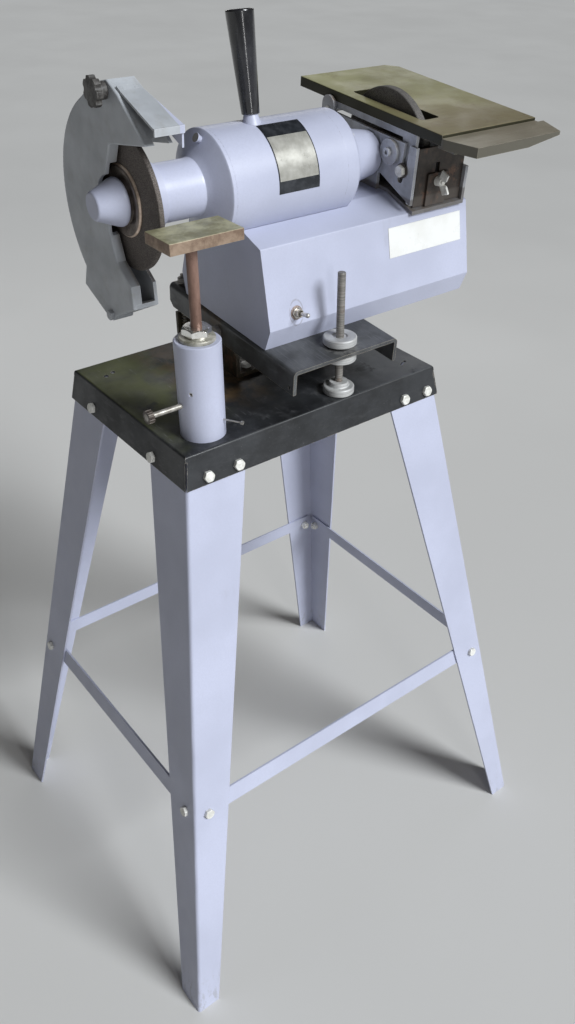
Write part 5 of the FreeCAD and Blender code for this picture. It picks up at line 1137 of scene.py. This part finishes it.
class SHARPENER_OT_table(Dresser, bpy.types.Operator):
    """Finishes the right wheel, the bracket that carries the table, and the table"""
    bl_idname = "sharpener.table"
    bl_label = "Saw table"
    PIECES = (
        ("table_wheel", "grit_grey", "cast", "right_stone"),
        ("table_wheel_nut", "zinc_bolt", "turned", "right_nut"),
        ("table_bracket", "bracket_steel", "sheet", "bracket"),
        ("wheel_shield", "shield_brown", "sheet", "shield"),
        ("clamp_disc", "bracket_steel", "turned", "index_disc"),
        ("wing_nut", "zinc_bolt", "nut", "shield_wing_nut", None, 3),
        ("saw_table", "table_olive", "sheet", "table_top"),
        ("front_rail", "rail_grey", "sheet", "rail"),
        ("table_arms", "bracket_steel", "sheet", "arms"),
        ("tilt_hardware", "zinc_bolt", "turned", "tilt_bolts", flat(1.0, TILT_WASHER)),
        ("tilt_hardware", "dark_washer", "turned", "tilt_washer", slim(TILT_WASHER)),
    )


class SHARPENER_OT_stage(bpy.types.Operator):
    """Sets the floor, the lights and the camera"""
    bl_idname = "sharpener.stage"
    bl_label = "Stage"

    def execute(self, context):
        scene = context.scene
        stage = scene.sharpener_stage
        self.floor(scene)
        self.lights(scene, stage)
        self.camera(scene, stage)
        scene.view_settings.view_transform = "Standard"
        return {"FINISHED"}

    def floor(self, scene):
        mesh = bpy.data.meshes.new("floor")
        bm = bmesh.new()
        bmesh.ops.create_grid(bm, x_segments=8, y_segments=8, size=FLOOR_HALF)
        bm.to_mesh(mesh)
        bm.free()
        mesh.materials.append(finish("pale_floor"))
        floor = bpy.data.objects.new("floor", mesh)
        scene.collection.objects.link(floor)

    def lights(self, scene, stage):
        sun = bpy.data.lights.new("key", "SUN")
        sun.energy = stage.key
        sun.angle = math.radians(KEY_WIDTH)
        sun.color = KEY_COLOUR
        key = bpy.data.objects.new("key", sun)
        key.rotation_euler = Vector(KEY_FROM).to_track_quat("Z", "Y").to_euler()
        scene.collection.objects.link(key)
        for name, at, energy, width in SOFT_BOXES:
            panel = bpy.data.lights.new(name, "AREA")
            panel.shape = "RECTANGLE"
            panel.size, panel.size_y = width
            panel.energy = energy
            light = bpy.data.objects.new(name, panel)
            light.location = at
            light.rotation_euler = (Vector(at) - SHAFT).to_track_quat("Z", "Y").to_euler()
            scene.collection.objects.link(light)
        world = bpy.data.worlds.new("studio")
        world.use_nodes = True
        sky = world.node_tree.nodes["Background"]
        sky.inputs["Color"].default_value = (1.0, 0.985, 0.96, 1.0)
        sky.inputs["Strength"].default_value = stage.fill
        scene.world = world

    def camera(self, scene, stage):
        lens = bpy.data.cameras.new("photo_view")
        lens.sensor_width = 36.0
        lens.lens = lens.sensor_width * stage.focal_pixels / PHOTO_HEIGHT
        lens.shift_x = (PHOTO_WIDTH / 2 - stage.middle_x) / PHOTO_HEIGHT
        lens.shift_y = (stage.middle_y - PHOTO_HEIGHT / 2) / PHOTO_HEIGHT
        lens.clip_end = 200.0
        camera = bpy.data.objects.new("photo_view", lens)
        camera.location = stage.camera_at
        turn = (
            Matrix.Rotation(-stage.camera_azimuth, 3, "Z")
            @ Matrix.Rotation(math.pi / 2 - stage.camera_tilt, 3, "X")
            @ Matrix.Rotation(stage.camera_roll, 3, "Z")
        )
        camera.rotation_euler = turn.to_euler()
        scene.collection.objects.link(camera)
        scene.camera = camera


class SHARPENER_PT_panel(bpy.types.Panel):
    bl_label = "Saw sharpening machine"
    bl_idname = "SHARPENER_PT_panel"
    bl_space_type = "VIEW_3D"
    bl_region_type = "UI"
    bl_category = "Sharpener"

    def draw(self, context):
        for operator in OPERATORS:
            self.layout.operator(operator.bl_idname)
        for name in SETTINGS:
            group = getattr(context.scene, name)
            for key in group.__annotations__:
                self.layout.prop(group, key)


SETTINGS = {
    "sharpener_paint": SharpenerPaint,
    "sharpener_wear": SharpenerWear,
    "sharpener_sizes": SharpenerSizes,
    "sharpener_stage": SharpenerStage,
}
OPERATORS = (
    SHARPENER_OT_stage,
    SHARPENER_OT_stand,
    SHARPENER_OT_tray,
    SHARPENER_OT_tool_rest,
    SHARPENER_OT_stop,
    SHARPENER_OT_base,
    SHARPENER_OT_motor,
    SHARPENER_OT_handle,
    SHARPENER_OT_left_wheel,
    SHARPENER_OT_guard,
    SHARPENER_OT_table,
)


def register():
    for group in SETTINGS.values():
        bpy.utils.register_class(group)
    for name, group in SETTINGS.items():
        setattr(bpy.types.Scene, name, bpy.props.PointerProperty(type=group))
    for operator in OPERATORS:
        bpy.utils.register_class(operator)
    bpy.utils.register_class(SHARPENER_PT_panel)


def unregister():
    bpy.utils.unregister_class(SHARPENER_PT_panel)
    for operator in reversed(OPERATORS):
        bpy.utils.unregister_class(operator)
    for name in SETTINGS:
        delattr(bpy.types.Scene, name)
    for group in SETTINGS.values():
        bpy.utils.unregister_class(group)


def main():
    register()
    for operator in OPERATORS:
        family, name = operator.bl_idname.split(".")
        getattr(getattr(bpy.ops, family), name)()


if __name__ == "__main__":
    main()
